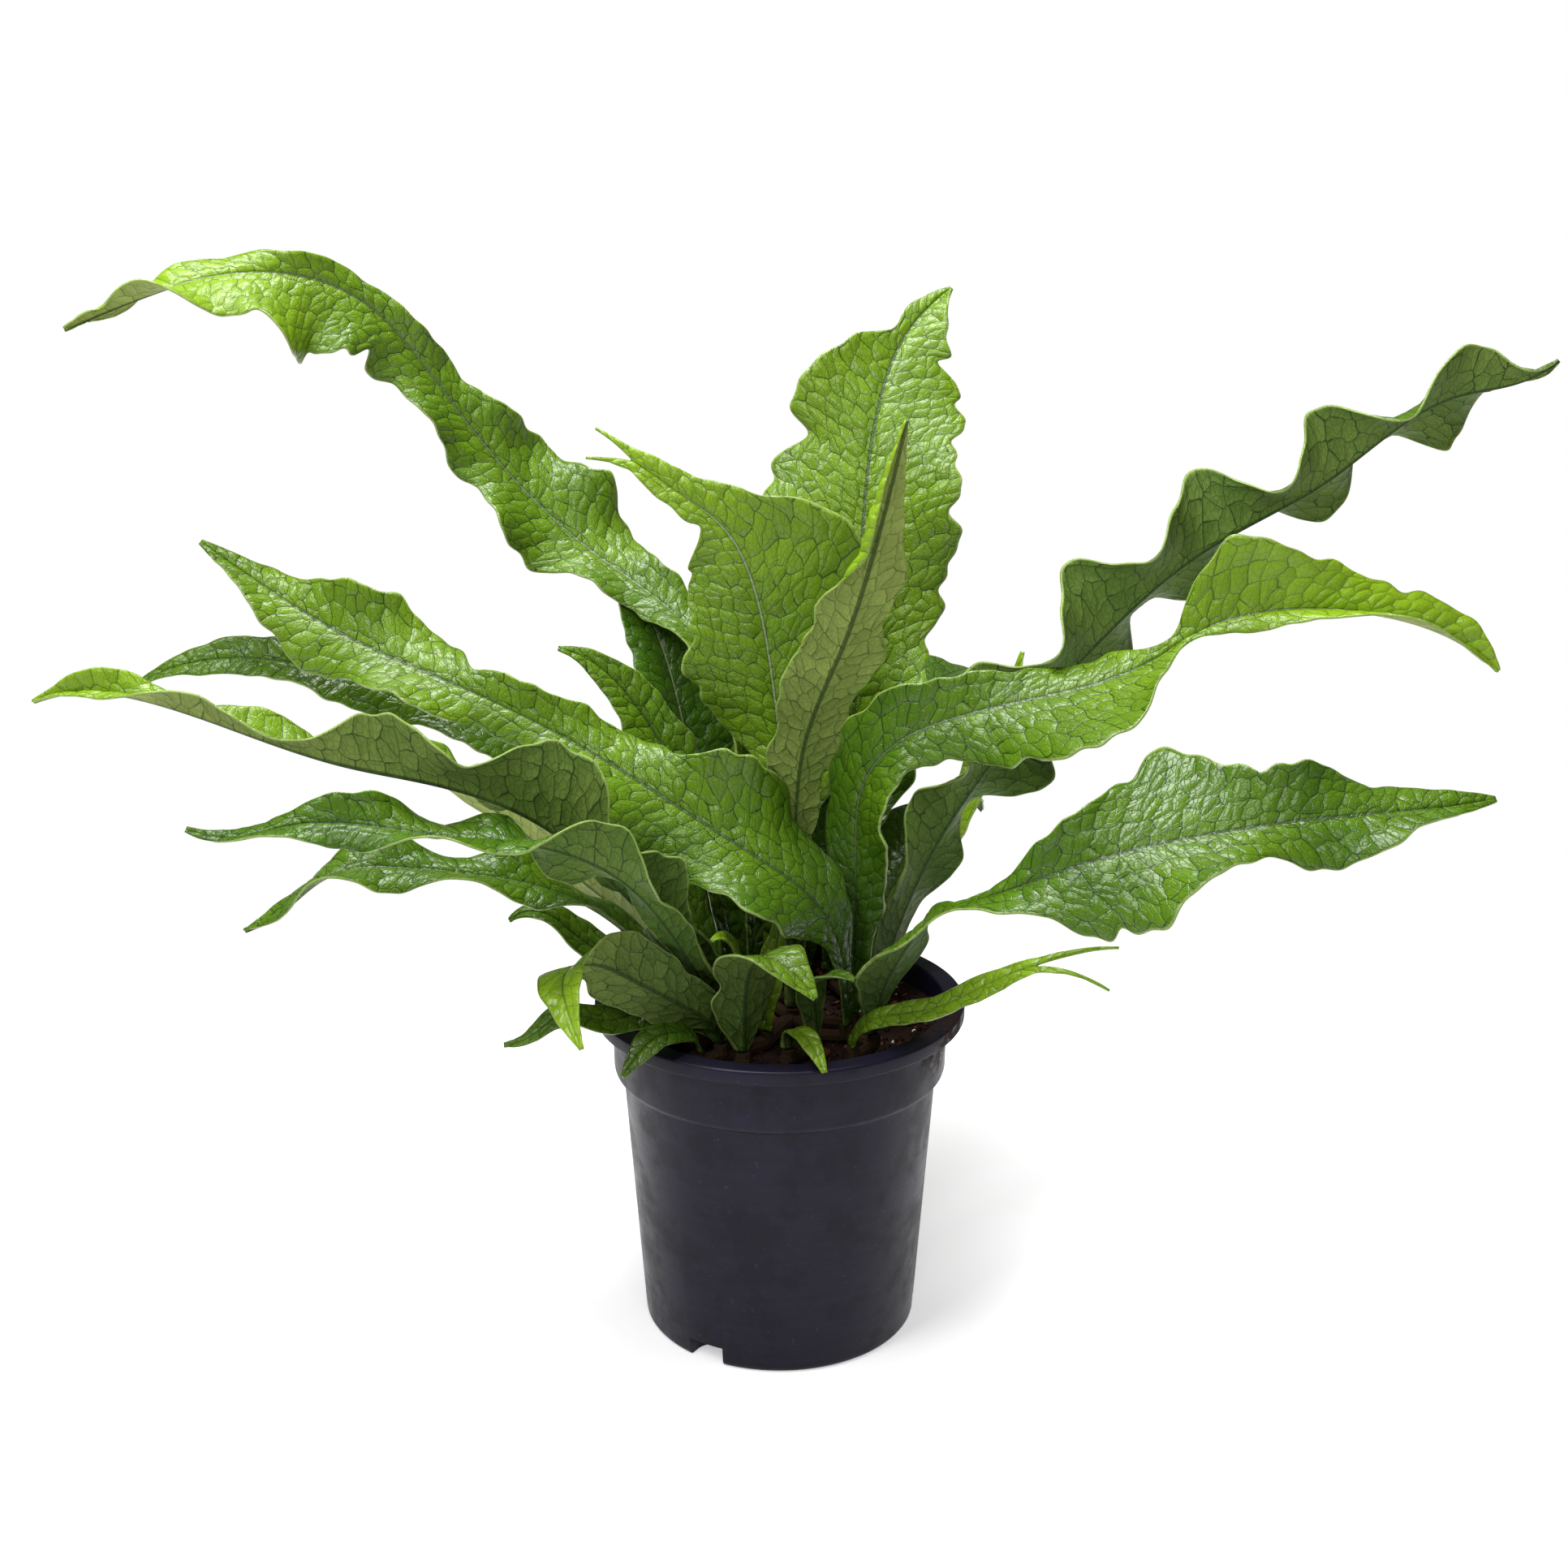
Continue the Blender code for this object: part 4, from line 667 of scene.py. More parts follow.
def vein_distance(tree, spot):
    """Distances from a spot on the blade to its veins, in metres, and its place in the net."""
    parts = add_node(tree, "ShaderNodeSeparateXYZ", {0: spot})
    across, along, place = parts.outputs[0], parts.outputs[1], parts.outputs[2]
    flat = add_node(tree, "ShaderNodeCombineXYZ", {0: across, 1: along}).outputs[0]
    reach = math_node(tree, "ABSOLUTE", across)
    side = math_node(tree, "GREATER_THAN", across, 0.0)
    sway = noise(tree, flat, SWAY_SCALE, detail=2.0)
    sway = times_plus(tree, sway, VEIN_SWAY, along)
    drift = noise(tree, flat, DRIFT_SCALE, detail=2.0)
    drift = times_plus(tree, drift, VEIN_SWAY, across)
    slanted = times_plus(tree, reach, -VEIN_SLANT, sway)
    turn = times_plus(tree, side, 0.5, math_node(tree, "DIVIDE", slanted, SIDE_VEIN_GAP))
    cycle = math_node(tree, "FRACT", turn)
    off_side = math_node(tree, "ABSOLUTE", math_node(tree, "SUBTRACT", cycle, 0.5))
    side_vein = times(tree, math_node(tree, "SUBTRACT", 0.5, off_side), SIDE_VEIN_GAP)
    other_half = times(tree, side, HALVES_APART)
    row = times_plus(tree, turn, 2.0, other_half)
    cell = add_node(tree, "ShaderNodeCombineXYZ", {0: math_node(tree, "DIVIDE", drift, SCALE_LENGTH), 1: row})
    net = add_node(tree, "ShaderNodeTexVoronoi",
                   {"Vector": cell.outputs[0], "Scale": 1.0, "Randomness": NET_RANDOMNESS},
                   feature="DISTANCE_TO_EDGE", voronoi_dimensions="2D")
    scale_size = (SCALE_LENGTH + SIDE_VEIN_GAP / 2) / 2
    nearest = times(tree, net.outputs["Distance"], scale_size)
    off_middle = math_node(tree, "ABSOLUTE", place)
    narrow = times(tree, off_middle, RIB_SPREAD)
    return {"nearest": nearest, "side": side_vein, "reach": math_node(tree, "MAXIMUM", reach, narrow),
            "off_middle": off_middle, "along": along, "cell": cell.outputs[0]}


def dome(tree, distance, width=DOME_WIDTH):
    """Height of a bulge, from 0 on a vein to 1 at a width away from it."""
    share = math_node(tree, "DIVIDE", distance, width, clamp=True)
    fall = one_minus(tree, share)
    return one_minus(tree, times(tree, fall, fall))


# %% Relief as a geometry modifier
SCALE_LIFT = 0.00025
RIDGE_LIFT = 0.0005
RIB_SINK = 0.0007
RIB_HALF = 0.0009
RELIEF_STARTS = 0.001
RELIEF_FULL = 0.006
RELIEF_FADES = 0.86


def relief_tree():
    """Geometry nodes that lift the scales and sink the midrib."""
    tree = bpy.data.node_groups.new("crocodile_relief", "GeometryNodeTree")
    tree.interface.new_socket("Geometry", in_out="INPUT", socket_type="NodeSocketGeometry")
    tree.interface.new_socket("Geometry", in_out="OUTPUT", socket_type="NodeSocketGeometry")
    start = tree.nodes.new("NodeGroupInput")
    end = tree.nodes.new("NodeGroupOutput")
    spot = add_node(tree, "GeometryNodeInputNamedAttribute", {"Name": "spot"}, data_type="FLOAT_VECTOR")
    veins = vein_distance(tree, spot.outputs[0])
    ridge = times(tree, dome(tree, veins["side"], SIDE_VEIN_GAP / 2), RIDGE_LIFT)
    lift = times_plus(tree, dome(tree, veins["nearest"]), SCALE_LIFT, ridge)
    lift = times(tree, lift, ramp_down(tree, veins["off_middle"], RELIEF_FADES, 1.0))
    inward = times(tree, veins["reach"], -1.0)
    lift = times(tree, lift, ramp_down(tree, inward, -RELIEF_FULL, -RELIEF_STARTS))
    rib = times(tree, ramp_down(tree, veins["reach"], 0.0, RIB_HALF * 2), RIB_SINK)
    lift = math_node(tree, "SUBTRACT", lift, rib)
    normal = add_node(tree, "GeometryNodeInputNormal").outputs[0]
    push = add_node(tree, "ShaderNodeVectorMath", {0: normal, "Scale": lift}, operation="SCALE")
    moved = add_node(tree, "GeometryNodeSetPosition",
                     {"Geometry": start.outputs[0], "Offset": push.outputs[0]})
    tree.links.new(moved.outputs[0], end.inputs[0])
    return tree


# %% [markdown]
# ## The blade's skin colours
# The upper side is a waxy green with dark sunk veins, a pale midrib and a thin pale margin.
# The underside is dull and greyer, with the veins in a darker green. Each gets a material of
# its own, and both take the frond's tone, so one frond can run from green to lime. A thin
# coat over a dull skin gives the tight wet glints of the wax without washing out the green.

# %% Blade materials
GROWN_GREEN = tint(62, 100, 10)
LIME_GREEN = tint(136, 172, 28)
VEIN_GREEN = tint(22, 48, 12)
RIB_PALE = tint(136, 154, 108)
MARGIN_PALE = tint(156, 180, 96)
UNDER_GREEN = tint(72, 104, 34)
UNDER_LIME = tint(158, 174, 90)
UNDER_VEIN = tint(36, 60, 22)
SCORCH = tint(104, 62, 26)
# Colour of the painted shade at the fronds' feet, where the crowded fronds shade each other.
FOOT_SHADE_GREEN = tint(26, 42, 14)
STOUT_TO = 0.0008
STOUT_FADES = 0.003
LINE_WIDTH = 0.00032
STOUT_EXTRA = 0.00018
LINE_SHARE = 0.76
STOUT_SHARE = 0.2
GROOVE_HALF = 0.0005
GROOVE_SHARE = 0.75
SOFT_FROM = 0.7
GROOVE_SOFT_TO = 1.3
RIB_SOFT_TO = 1.4
CLOUD_SHARE = 0.7
SCALE_SHADES = 0.2
CALM_START = 1.3
CALM_FALL = 0.8
THREADS_PER_SCALE = 2.6
THREAD_RANDOMNESS = 0.9
THREAD_WIDTH = 0.12
THREAD_SHARE = 0.3
MARGIN_SHARE = 0.75
SCORCH_SHARE = 0.8
# Painted shade at the foot: where it starts and ends along the blade, in metres, and how much of it shows.
FOOT_SHADE_FROM = 0.02
FOOT_SHADE_TO = 0.11
FOOT_SHADE_SHARE = 0.5
GLOSS_SPREAD = 0.3
CRINKLE_SHARE = 0.5


def vein_lines(tree, veins):
    """How much of the veins' colour shows: thin lines, and stouter ones near a side vein."""
    stout = ramp_down(tree, veins["side"], STOUT_TO, STOUT_FADES)
    width = times_plus(tree, stout, STOUT_EXTRA, LINE_WIDTH)
    line = ramp_down(tree, veins["nearest"], 0.0, width)
    return times(tree, line, times_plus(tree, stout, STOUT_SHARE, LINE_SHARE))


def rib_colours(tree, veins, colour, vein, rib):
    """Midrib with a dark groove on both sides, paler on some fronds than on others."""
    groove = ramp_down(tree, veins["reach"], RIB_HALF * SOFT_FROM, RIB_HALF * GROOVE_SOFT_TO)
    colour = painted(tree, colour, groove, GROOVE_SHARE, vein)
    pale = ramp_down(tree, veins["reach"], GROOVE_HALF * SOFT_FROM, GROOVE_HALF * RIB_SOFT_TO)
    paleness = add_node(tree, "ShaderNodeAttribute", attribute_name="pale_rib").outputs["Fac"]
    return painted(tree, colour, pale, paleness, rib)


def scale_colours(tree, veins, where, tone, grown, young):
    """Green of the scales: it drifts in soft clouds and differs a little from scale to scale."""
    cloud = noise(tree, where, scale=22.0, detail=4.0, roughness=0.6)
    shade = times_plus(tree, cloud, CLOUD_SHARE, -CLOUD_SHARE / 2)
    colour = blend_colours(tree, math_node(tree, "ADD", tone, shade, clamp=True), grown, young)
    cells = add_node(tree, "ShaderNodeTexVoronoi",
                     {"Vector": veins["cell"], "Scale": 1.0, "Randomness": NET_RANDOMNESS},
                     voronoi_dimensions="2D")
    luck = add_node(tree, "ShaderNodeSeparateColor", {0: cells.outputs["Color"]}).outputs[0]
    value = times_plus(tree, luck, SCALE_SHADES, 1.0 - SCALE_SHADES / 2)
    return add_node(tree, "ShaderNodeHueSaturation", {"Value": value, "Color": colour}).outputs[0]


def fine_threads(tree, veins, calm):
    """Hairline veins inside the scales."""
    fine = add_node(tree, "ShaderNodeTexVoronoi",
                    {"Vector": veins["cell"], "Scale": THREADS_PER_SCALE, "Randomness": THREAD_RANDOMNESS},
                    feature="DISTANCE_TO_EDGE", voronoi_dimensions="2D")
    thread = ramp_down(tree, fine.outputs["Distance"], 0.0, THREAD_WIDTH)
    thread = times(tree, thread, THREAD_SHARE)
    return times(tree, thread, calm)


def edge_marks_and_foot_shade(tree, veins, where, colour):
    """Pale margin, a few scorched spots, and painted shade that darkens the foot."""
    inside = one_minus(tree, veins["off_middle"])
    edge = ramp_down(tree, inside, near=0.006, far=0.03)
    colour = painted(tree, colour, edge, MARGIN_SHARE, MARGIN_PALE)
    patches = noise(tree, where, scale=34.0, detail=5.0, roughness=0.65)
    spots = ramp_down(tree, one_minus(tree, patches), near=0.2, far=0.255)
    colour = painted(tree, colour, spots, SCORCH_SHARE, SCORCH)
    # Painted shade: the skin darkens towards the frond's foot, which the fronds above it shade.
    low = ramp_down(tree, veins["along"], FOOT_SHADE_FROM, FOOT_SHADE_TO)
    return painted(tree, colour, low, FOOT_SHADE_SHARE, FOOT_SHADE_GREEN)


def blade_material(name, grown, young, vein, rib, shine, bump, wax_weight):
    """Skin of one side of the blades, with fainter veins where it is lime."""
    material, tree, shader = new_material(name)
    spot = add_node(tree, "ShaderNodeAttribute", attribute_name="spot").outputs["Vector"]
    tone = add_node(tree, "ShaderNodeAttribute", attribute_name="tone").outputs["Fac"]
    where = add_node(tree, "ShaderNodeTexCoord").outputs["Object"]
    veins = vein_distance(tree, spot)
    calm = times_plus(tree, tone, -CALM_FALL, CALM_START, clamp=True)
    thread = fine_threads(tree, veins, calm)
    colour = scale_colours(tree, veins, where, tone, grown, young)
    colour = blend_colours(tree, thread, colour, vein)
    colour = painted(tree, colour, vein_lines(tree, veins), calm, vein)
    colour = rib_colours(tree, veins, colour, vein, rib)
    tree.links.new(edge_marks_and_foot_shade(tree, veins, where, colour), shader.inputs["Base Color"])
    rubbed = noise(tree, where, scale=120.0, detail=3.0)
    gloss = times_plus(tree, rubbed, GLOSS_SPREAD, shine - GLOSS_SPREAD / 2)
    tree.links.new(gloss, shader.inputs["Roughness"])
    crinkle = noise(tree, where, scale=420.0, detail=4.0, roughness=0.65)
    height = times_plus(tree, crinkle, CRINKLE_SHARE, dome(tree, veins["nearest"]))
    height = math_node(tree, "SUBTRACT", height, thread)
    for socket, strength in (("Normal", 1.0), ("Coat Normal", 0.8)):
        relief = add_node(tree, "ShaderNodeBump", {"Height": height, "Strength": strength, "Distance": bump})
        tree.links.new(relief.outputs[0], shader.inputs[socket])
    set_sockets(shader, Specular_IOR_Level=0.14, Coat_Weight=wax_weight, Coat_Roughness=0.13)
    return material


top_skin = blade_material("frond_top_skin", GROWN_GREEN, LIME_GREEN, VEIN_GREEN, RIB_PALE,
                          shine=0.38, bump=0.00035, wax_weight=0.5)
under_skin = blade_material("frond_under_skin", UNDER_GREEN, UNDER_LIME, UNDER_VEIN, UNDER_VEIN,
                            shine=0.55, bump=-0.0004, wax_weight=0.0)

# %% [markdown]
# ## Making the blades
# The relief modifier comes first, on the bare sheet. Solidify then gives the sheet a stalk's
# thickness at its foot and a blade's thickness further out, through a vertex group, and puts
# the underside into the second material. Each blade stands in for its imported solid.

# %% Grow every frond
BLADE_THICKNESS = 0.0009
STALK_THICKNESS = 0.0022
STALK_SHARE = 0.3


def thickness_group(blade, rows):
    """Vertex group that thins a frond out from its stalk to its blade."""
    group = blade.vertex_groups.new(name="thickness")
    length = rows * ROW_STEP * CM
    for vertex, spot in zip(blade.data.vertices, blade.data.attributes["spot"].data):
        stoutness = max(0.0, 1.0 - spot.vector[1] / length / STALK_SHARE)
        share = (BLADE_THICKNESS + (STALK_THICKNESS - BLADE_THICKNESS) * stoutness) / STALK_THICKNESS
        group.add([vertex.index], share, "REPLACE")


def apply_modifiers(piece):
    """Apply a piece's modifiers in their order."""
    bpy.ops.object.select_all(action="DESELECT")
    piece.select_set(True)
    bpy.context.view_layer.objects.active = piece
    for name in [modifier.name for modifier in piece.modifiers]:
        bpy.ops.object.modifier_apply(modifier=name)


def make_blade(frond, index, relief):
    """One finished frond."""
    blade, rows = sheet_object(frond, index)
    blade.data.materials.append(top_skin)
    blade.data.materials.append(under_skin)
    thickness_group(blade, rows)
    blade.modifiers.new("relief", "NODES").node_group = relief
    solid = blade.modifiers.new("thickness", "SOLIDIFY")
    solid.thickness = STALK_THICKNESS
    solid.vertex_group = "thickness"
    solid.offset = 0.0
    solid.material_offset = 1
    apply_modifiers(blade)
    bpy.ops.object.shade_smooth()
    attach(blade, "root")
    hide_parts(frond["name"])
    return len(blade.data.polygons)


relief = relief_tree()
faces = sum(make_blade(frond, index, relief) for index, frond in enumerate(FRONDS))
print("blade faces", faces)

# %% [markdown]
# ## The nursery pot
# A real pot of this kind is moulded in one go: a thin tapered wall with a collar, a rolled
# lip, and drain channels pressed up into its base. A closed turned shape can be spun from a
# profile, or pulled up ring by ring from a disc, as on a potter's wheel. The second way is
# used here, because every ring is one extrude and one scale. A second, smaller turned shape
# hollows it, and blocks cut the channels and leave their hoods standing inside.

# %% Pull up a turned shape
POT_SIDES = 144
POT_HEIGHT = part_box("nursery_pot")[1].z
LIP_RADIUS = 0.085
COLLAR_RADIUS = 0.077
COLLAR_FOOT = 0.126
BODY_RADIUS = 0.0725
BASE_RADIUS = 0.0638
POT_WALL = 0.0014
POT_FLOOR = 0.002


def turned(name, rings):
    """Closed turned shape from a bottom disc and rings of (radius, height), capped on top."""
    bpy.ops.object.select_all(action="DESELECT")
    radius, height = rings[0]
    bpy.ops.mesh.primitive_circle_add(vertices=POT_SIDES, radius=radius, fill_type="NGON",
                                      location=(0, 0, 0))
    piece = bpy.context.object
    piece.name = name
    bpy.ops.object.mode_set(mode="EDIT")
    bpy.ops.transform.translate(value=(0, 0, height))
    bpy.ops.mesh.select_mode(type="EDGE")
    bpy.ops.mesh.select_all(action="SELECT")
    for wider, higher in rings[1:]:
        bpy.ops.mesh.extrude_edges_move(TRANSFORM_OT_translate={"value": (0, 0, higher - height)})
        share = wider / radius
        bpy.ops.transform.resize(value=(share, share, 1), center_override=(0, 0, higher))
        radius, height = wider, higher
    bpy.ops.mesh.edge_face_add()
    bpy.ops.mesh.select_all(action="SELECT")
    bpy.ops.mesh.normals_make_consistent(inside=False)
    bpy.ops.object.mode_set(mode="OBJECT")
    return piece


def beside(radius, height, steps):
    """Profile points beside a corner, from steps outward and upward in millimetres."""
    return [(radius + out * MM, height + up * MM) for out, up in steps]


def rounding(centre, radius, start, end, steps=5):
    """Quarter round of a profile, as points from one angle to another in degrees."""
    return [(centre[0] + radius * math.cos(turn), centre[1] + radius * math.sin(turn))
            for turn in np.radians(np.linspace(start, end, steps))]


# %% Channels and holes
CHANNEL_TURNS = (238, 358, 118)
CHANNEL_WIDTH = 0.018
CHANNEL_HEIGHT = 0.0095
CHANNEL_DEPTH = 0.016
CHANNEL_END = BASE_RADIUS - CHANNEL_DEPTH + CHANNEL_WIDTH / 2
CUTTER_SIDES = 48
CUT_BELOW = 0.005
CUT_BEYOND = 0.01
BLUNT_FROM = 0.02
CORNER_FROM = 0.2
HOLE_RADIUS = 0.0035
HOLE_DEPTH = 0.012
HOLE_SIDES = 32


def upright_cylinder(sides, radius, depth, place):
    """Upright cylinder, with its place kept in its points."""
    bpy.ops.object.select_all(action="DESELECT")
    bpy.ops.mesh.primitive_cylinder_add(vertices=sides, radius=radius, depth=depth, location=place)
    bpy.ops.object.transform_apply(location=True, rotation=True, scale=True)
    return bpy.context.object


def channel_cutter(turn, margin):
    """Radial block with a round inner end, for one drain channel or its hood."""
    half = CHANNEL_WIDTH / 2 + margin
    height = CHANNEL_HEIGHT + margin + CUT_BELOW
    block = upright_cylinder(CUTTER_SIDES, half, height, (CHANNEL_END, 0, height / 2 - CUT_BELOW))
    for vertex in block.data.vertices:
        if vertex.co.x > CHANNEL_END + half * BLUNT_FROM:
            vertex.co.x = BASE_RADIUS + CUT_BEYOND
            if abs(vertex.co.y) > half * CORNER_FROM:
                vertex.co.y = math.copysign(half, vertex.co.y)
    block.rotation_euler.z = math.radians(turn)
    bpy.ops.object.transform_apply(location=True, rotation=True, scale=True)
    return block


def cut(piece, cutter):
    """Cut a piece with a cutter, and remove the cutter."""
    tool = piece.modifiers.new("cut", "BOOLEAN")
    tool.object = cutter
    tool.operation = "DIFFERENCE"
    tool.solver = "EXACT"
    apply_modifiers(piece)
    bpy.data.objects.remove(cutter)


def drain_hole(pot, turn):
    """Drill the hole through a channel's hood, at its inner end."""
    turn = math.radians(turn)
    place = (CHANNEL_END * math.cos(turn), CHANNEL_END * math.sin(turn), CHANNEL_HEIGHT)
    cut(pot, upright_cylinder(HOLE_SIDES, HOLE_RADIUS, HOLE_DEPTH, place))


# %% Mould the pot
LIP_DEPTH = 0.0065
LIP_EDGE = 0.0008
LIP_ROUND = 0.0012
BASE_ROUND = 0.003
FLOOR_ROUND = 0.002
FIRST_RING = 0.03
SHARP_EDGE = 35


def outer_profile():
    """Rings of the outside: base, tapered wall, collar and rolled lip."""
    lip_foot = POT_HEIGHT - LIP_DEPTH
    rings = [(FIRST_RING, 0.0)]
    rings += rounding((BASE_RADIUS - BASE_ROUND, BASE_ROUND), BASE_ROUND, -90, 0)
    rings += beside(BODY_RADIUS, COLLAR_FOOT, ((-0.3, -4.5), (0, -3), (1.2, -2.2), (2.7, -1.2)))
    rings += beside(COLLAR_RADIUS, COLLAR_FOOT, ((-0.9, 0), (-0.5, 1.4)))
    rings += beside(COLLAR_RADIUS, lip_foot, ((0, -0.6), (0.6, 0)))
    rings += rounding((LIP_RADIUS - LIP_EDGE, lip_foot + LIP_EDGE), LIP_EDGE, -90, 0, 4)
    rings += rounding((LIP_RADIUS - LIP_ROUND, POT_HEIGHT - LIP_ROUND), LIP_ROUND, 0, 90)
    return rings + beside(COLLAR_RADIUS - POT_WALL, POT_HEIGHT, ((0.8, 0),))


def inner_profile():
    """Rings of the hollow, one wall inside the outside, up to above the lip."""
    low = BASE_RADIUS - POT_WALL
    high = BODY_RADIUS - POT_WALL
    collar = COLLAR_RADIUS - POT_WALL
    rings = [(FIRST_RING, POT_FLOOR)]
    rings += rounding((low - FLOOR_ROUND, POT_FLOOR + FLOOR_ROUND), FLOOR_ROUND, -90, 0, 4)
    rings += beside(high, COLLAR_FOOT, ((-0.4, -4), (0, -1.5)))
    rings += beside(collar, COLLAR_FOOT, ((0, 1.5),))
    return rings + beside(collar, POT_HEIGHT, ((0, -1.2), (0.4, -0.4), (1.2, 0.4), (1.2, 5)))


def mould_pot():
    """The pot as one closed shell."""
    pot = turned("nursery_pot_moulded", outer_profile())
    hollow = turned("hollow", inner_profile())
    for turn in CHANNEL_TURNS:
        cut(pot, channel_cutter(turn, 0.0))
        cut(hollow, channel_cutter(turn, POT_WALL))
    cut(pot, hollow)
    for turn in CHANNEL_TURNS:
        drain_hole(pot, turn)
    bpy.ops.object.shade_smooth_by_angle(angle=math.radians(SHARP_EDGE))
    return pot


pot = mould_pot()
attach(pot, "root")
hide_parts("nursery_pot")

# %% [markdown]
# ## Pot plastic
# The plastic is a bluish black with a satin face. Handling leaves long level scuffs, and
# peat leaves dust and a few smears near the lip. Stretched noise gives the scuffs, and a soft
# ball around a spot on the lip keeps the smears together.

# %% Pot plastic
PLASTIC_DARK = tint(13, 12, 21)
PLASTIC_WORN = tint(34, 30, 52)
PLASTIC_STAIN = tint(8, 8, 13)
DUST = tint(105, 98, 96)
PEAT_SMEAR = tint(46, 30, 23)
SCUFF_STRETCH = 9.0
STAIN_SHARE = 0.45
DUST_SHARE = 0.3
DUST_HEIGHT = 0.4
SMEAR_PLACE = (0.075, -0.03, 0.155)
SMEAR_REACH = 0.03
PLASTIC_ROUGHNESS = 0.26
SCUFFS_ROUGHEN = 0.16
STAINS_ROUGHEN = 0.12
SMEARS_ROUGHEN = 0.4


def pot_plastic():
    """Bluish black moulded plastic, satin, with scuffs, dust and a peat smear."""
    material, tree, shader = new_material("pot_plastic_worn")
    where = add_node(tree, "ShaderNodeTexCoord").outputs["Object"]
    stretched = add_node(tree, "ShaderNodeMapping", {"Vector": where, "Scale": (1.0, 1.0, SCUFF_STRETCH)})
    scuff = noise(tree, stretched.outputs[0], scale=30.0, detail=5.0, roughness=0.65)
    dust = noise(tree, where, scale=260.0, detail=4.0, roughness=0.7)
    colour = blend_colours(tree, scuff, PLASTIC_DARK, PLASTIC_WORN)
    stain = ramp_down(tree, noise(tree, where, scale=42.0, detail=5.0, roughness=0.65), near=0.38, far=0.56)
    colour = painted(tree, colour, stain, STAIN_SHARE, PLASTIC_STAIN)
    specks = ramp_down(tree, one_minus(tree, dust), near=0.24, far=0.36)
    colour = painted(tree, colour, specks, DUST_SHARE, DUST)
    off = add_node(tree, "ShaderNodeVectorMath", {0: where, 1: SMEAR_PLACE}, operation="DISTANCE")
    near = ramp_down(tree, off.outputs["Value"], SMEAR_REACH * 0.3, SMEAR_REACH)
    patchy = ramp_down(tree, noise(tree, where, scale=190.0, detail=5.0, roughness=0.7), near=0.42, far=0.52)
    smear = times(tree, near, one_minus(tree, patchy))
    colour = blend_colours(tree, smear, colour, PEAT_SMEAR)
    tree.links.new(colour, shader.inputs["Base Color"])
    rough = times_plus(tree, scuff, SCUFFS_ROUGHEN, PLASTIC_ROUGHNESS)
    rough = times_plus(tree, stain, STAINS_ROUGHEN, rough)
    rough = times_plus(tree, smear, SMEARS_ROUGHEN, rough)
    tree.links.new(rough, shader.inputs["Roughness"])
    height = times_plus(tree, dust, DUST_HEIGHT, scuff)
    relief = add_node(tree, "ShaderNodeBump", {"Height": height, "Strength": 0.3, "Distance": 0.0003})
    tree.links.new(relief.outputs[0], shader.inputs["Normal"])
    set_sockets(shader, Specular_IOR_Level=0.16)
    return material


pot.data.materials.append(pot_plastic())


# %% [markdown]
# ## Soil and rhizome
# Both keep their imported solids. The peat gets rough skin, and loose crumbs, bark chips and
# white perlite grains lie on it. A crumb is modelled once, as a roughened ball of few faces,
# and copies of it in all sizes and turns are joined into one piece for each kind of grain.

# %% Soil and rhizome skins
def dress(node, material):
    """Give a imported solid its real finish."""
    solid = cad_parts[node]
    solid.data.materials.clear()
    solid.data.materials.append(material)


def crumbly(name, dark, light, size, depth):
    """Rough earthy skin in two browns."""
    material, tree, shader = new_material(name)
    where = add_node(tree, "ShaderNodeTexCoord").outputs["Object"]
    grain = noise(tree, where, size, detail=6.0, roughness=0.7)
    colour = blend_colours(tree, grain, dark, light)
    tree.links.new(colour, shader.inputs["Base Color"])
    relief = add_node(tree, "ShaderNodeBump", {"Height": grain, "Strength": 1.0, "Distance": depth})
    tree.links.new(relief.outputs[0], shader.inputs["Normal"])
    set_sockets(shader, Roughness=0.95, Specular_IOR_Level=0.2)
    return material


peat = crumbly("peat", tint(16, 10, 7), tint(60, 36, 24), size=420.0, depth=0.002)
bark = crumbly("bark_chip", tint(66, 36, 20), tint(136, 82, 46), size=500.0, depth=0.0006)
perlite = crumbly("perlite_grain", tint(196, 190, 178), tint(232, 228, 220), size=900.0, depth=0.0004)
rhizome_bark = crumbly("rhizome_bark", tint(28, 19, 11), tint(66, 48, 28), size=300.0, depth=0.001)
dress("soil", peat)
dress("rhizome", rhizome_bark)

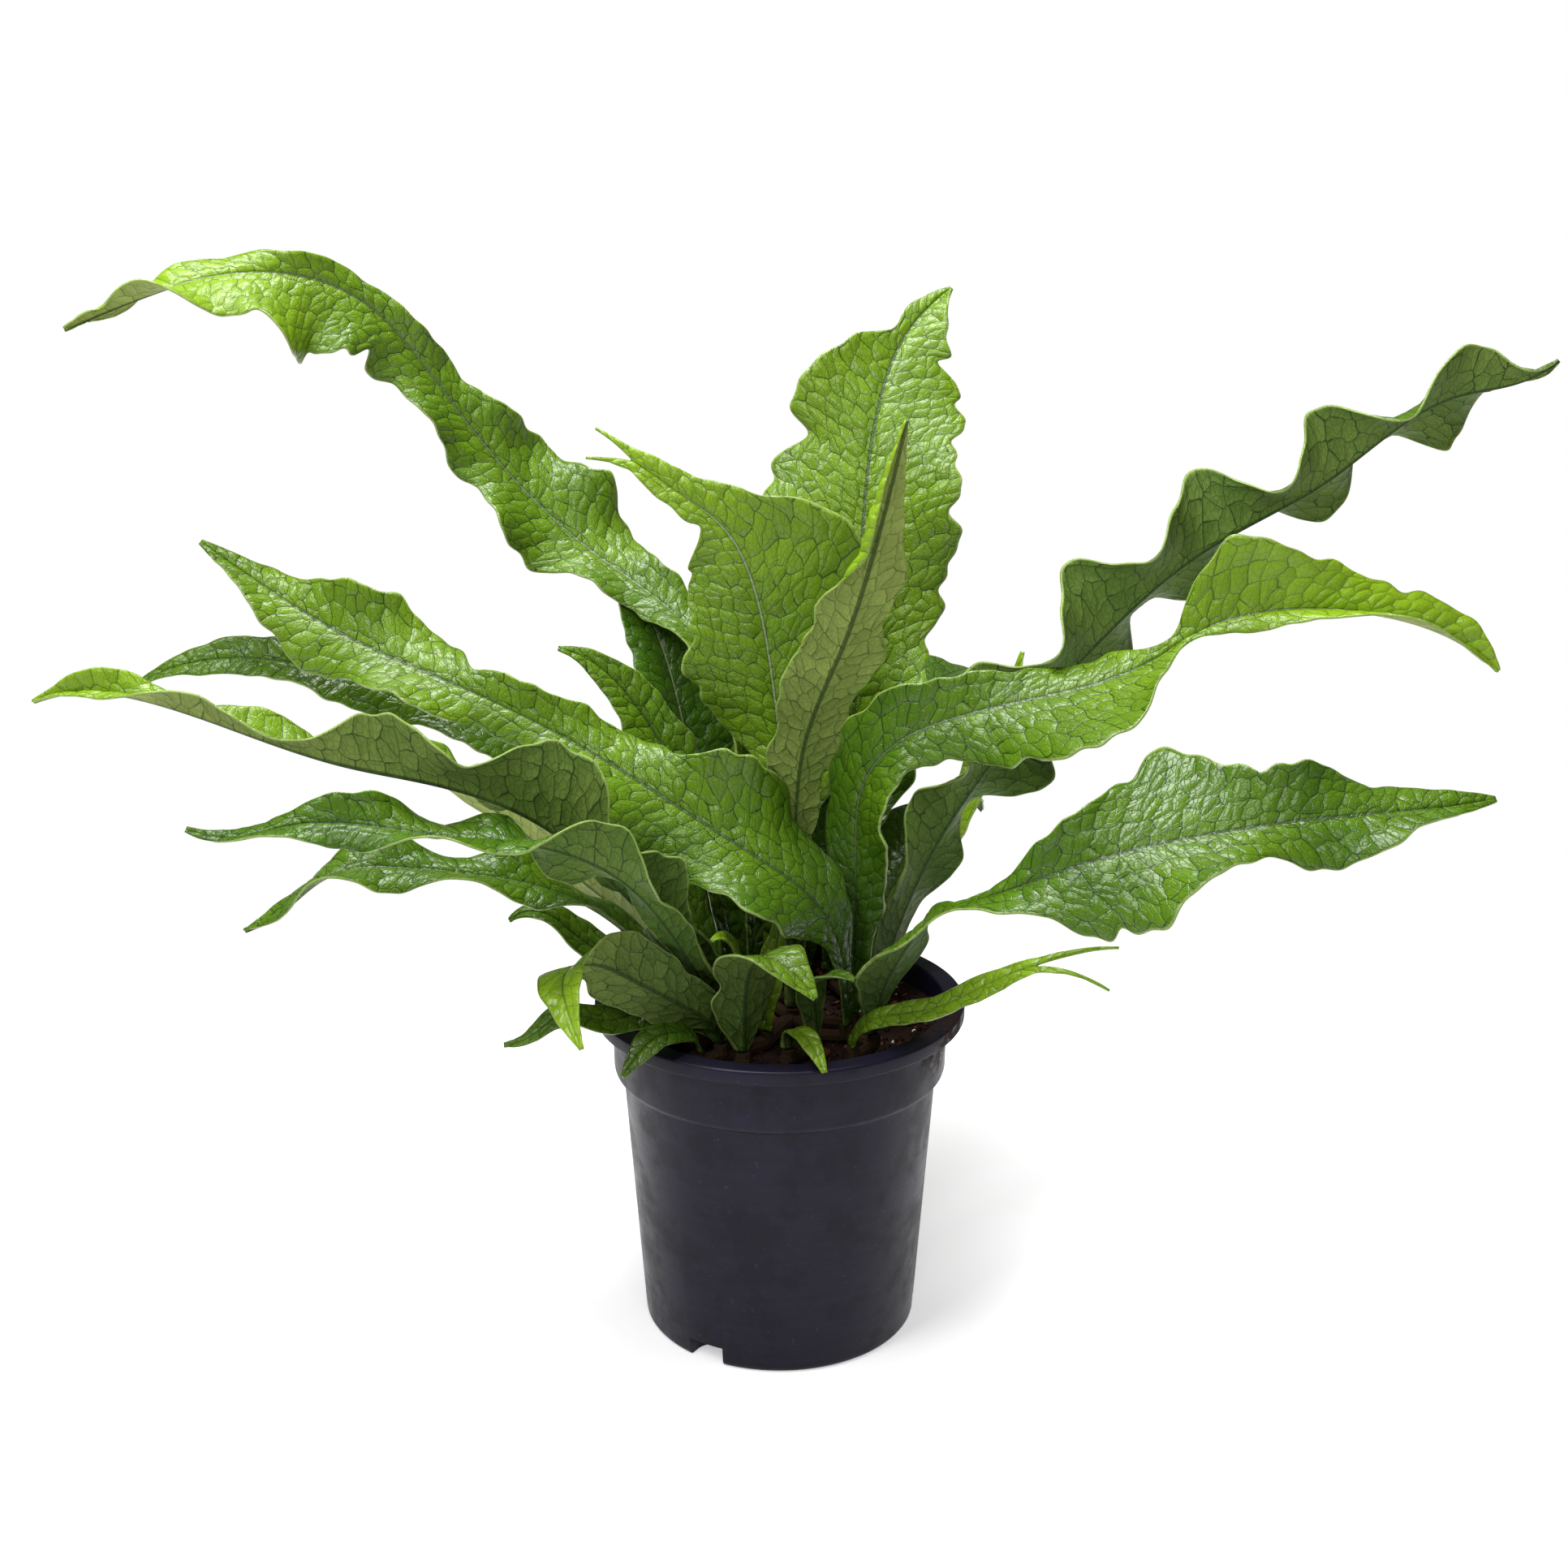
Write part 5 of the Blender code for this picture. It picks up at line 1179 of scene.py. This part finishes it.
# %% Loose grains on the soil
SOIL_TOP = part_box("soil")[1].z
HOLLOW_DEPTH = 0.003
RISE_FROM = 0.06
RISE_WIDTH = 0.012
GRAIN_REACH = 0.072
GRAIN_LUMPS = (0.7, 1.25)
GRAIN_BREADTH = 0.8
GRAIN_LIFT = 0.25
FULL_TURN = 6.28


def soil_height(distance):
    """Height of the soil's top at a distance from the pot's axis."""
    share = min(max((distance - RISE_FROM) / RISE_WIDTH, 0.0), 1.0)
    return SOIL_TOP - HOLLOW_DEPTH + HOLLOW_DEPTH * share


def grains(name, count, sizes, flatness, material, seed, ring=0.0):
    """Many small roughened balls on the soil, joined into one piece."""
    luck = random.Random(seed)
    bpy.ops.object.select_all(action="DESELECT")
    bpy.ops.mesh.primitive_ico_sphere_add(subdivisions=1, radius=1, location=(0, 0, 0))
    ball = bpy.context.object
    ball.name = name
    pattern = np.array([vertex.co[:] for vertex in ball.data.vertices])
    faces = [tuple(face.vertices) for face in ball.data.polygons]
    points = []
    all_faces = []
    for _ in range(count):
        distance = GRAIN_REACH * math.sqrt(luck.uniform(ring, 1.0))
        turn = luck.uniform(0, 2 * math.pi)
        size = luck.uniform(*sizes) * MM
        lumps = np.array([[luck.uniform(*GRAIN_LUMPS)] for corner in pattern])
        spin = np.array(Euler([luck.uniform(0, FULL_TURN) for _ in range(3)]).to_matrix())
        grain = (pattern * lumps * (1.0, GRAIN_BREADTH, flatness)) @ spin.T * size
        height = soil_height(distance) + size * GRAIN_LIFT
        place = (distance * math.cos(turn), distance * math.sin(turn), height)
        all_faces += [tuple(corner + len(points) * len(pattern) for corner in face) for face in faces]
        points.append(grain + place)
    mesh = bpy.data.meshes.new(name)
    mesh.from_pydata(np.vstack(points).tolist(), [], all_faces)
    ball.data = mesh
    mesh.materials.append(material)
    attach(ball, "root")
    return count


made = grains("peat_crumbs", 900, (0.5, 1.9), flatness=0.8, material=peat, seed=1)
made += grains("bark_chips", 260, (0.7, 2.4), flatness=0.4, material=bark, seed=2)
made += grains("perlite_grains", 46, (0.5, 1.3), flatness=0.9, material=perlite, seed=3, ring=0.3)
print("grains", made, "soil top", SOIL_TOP)
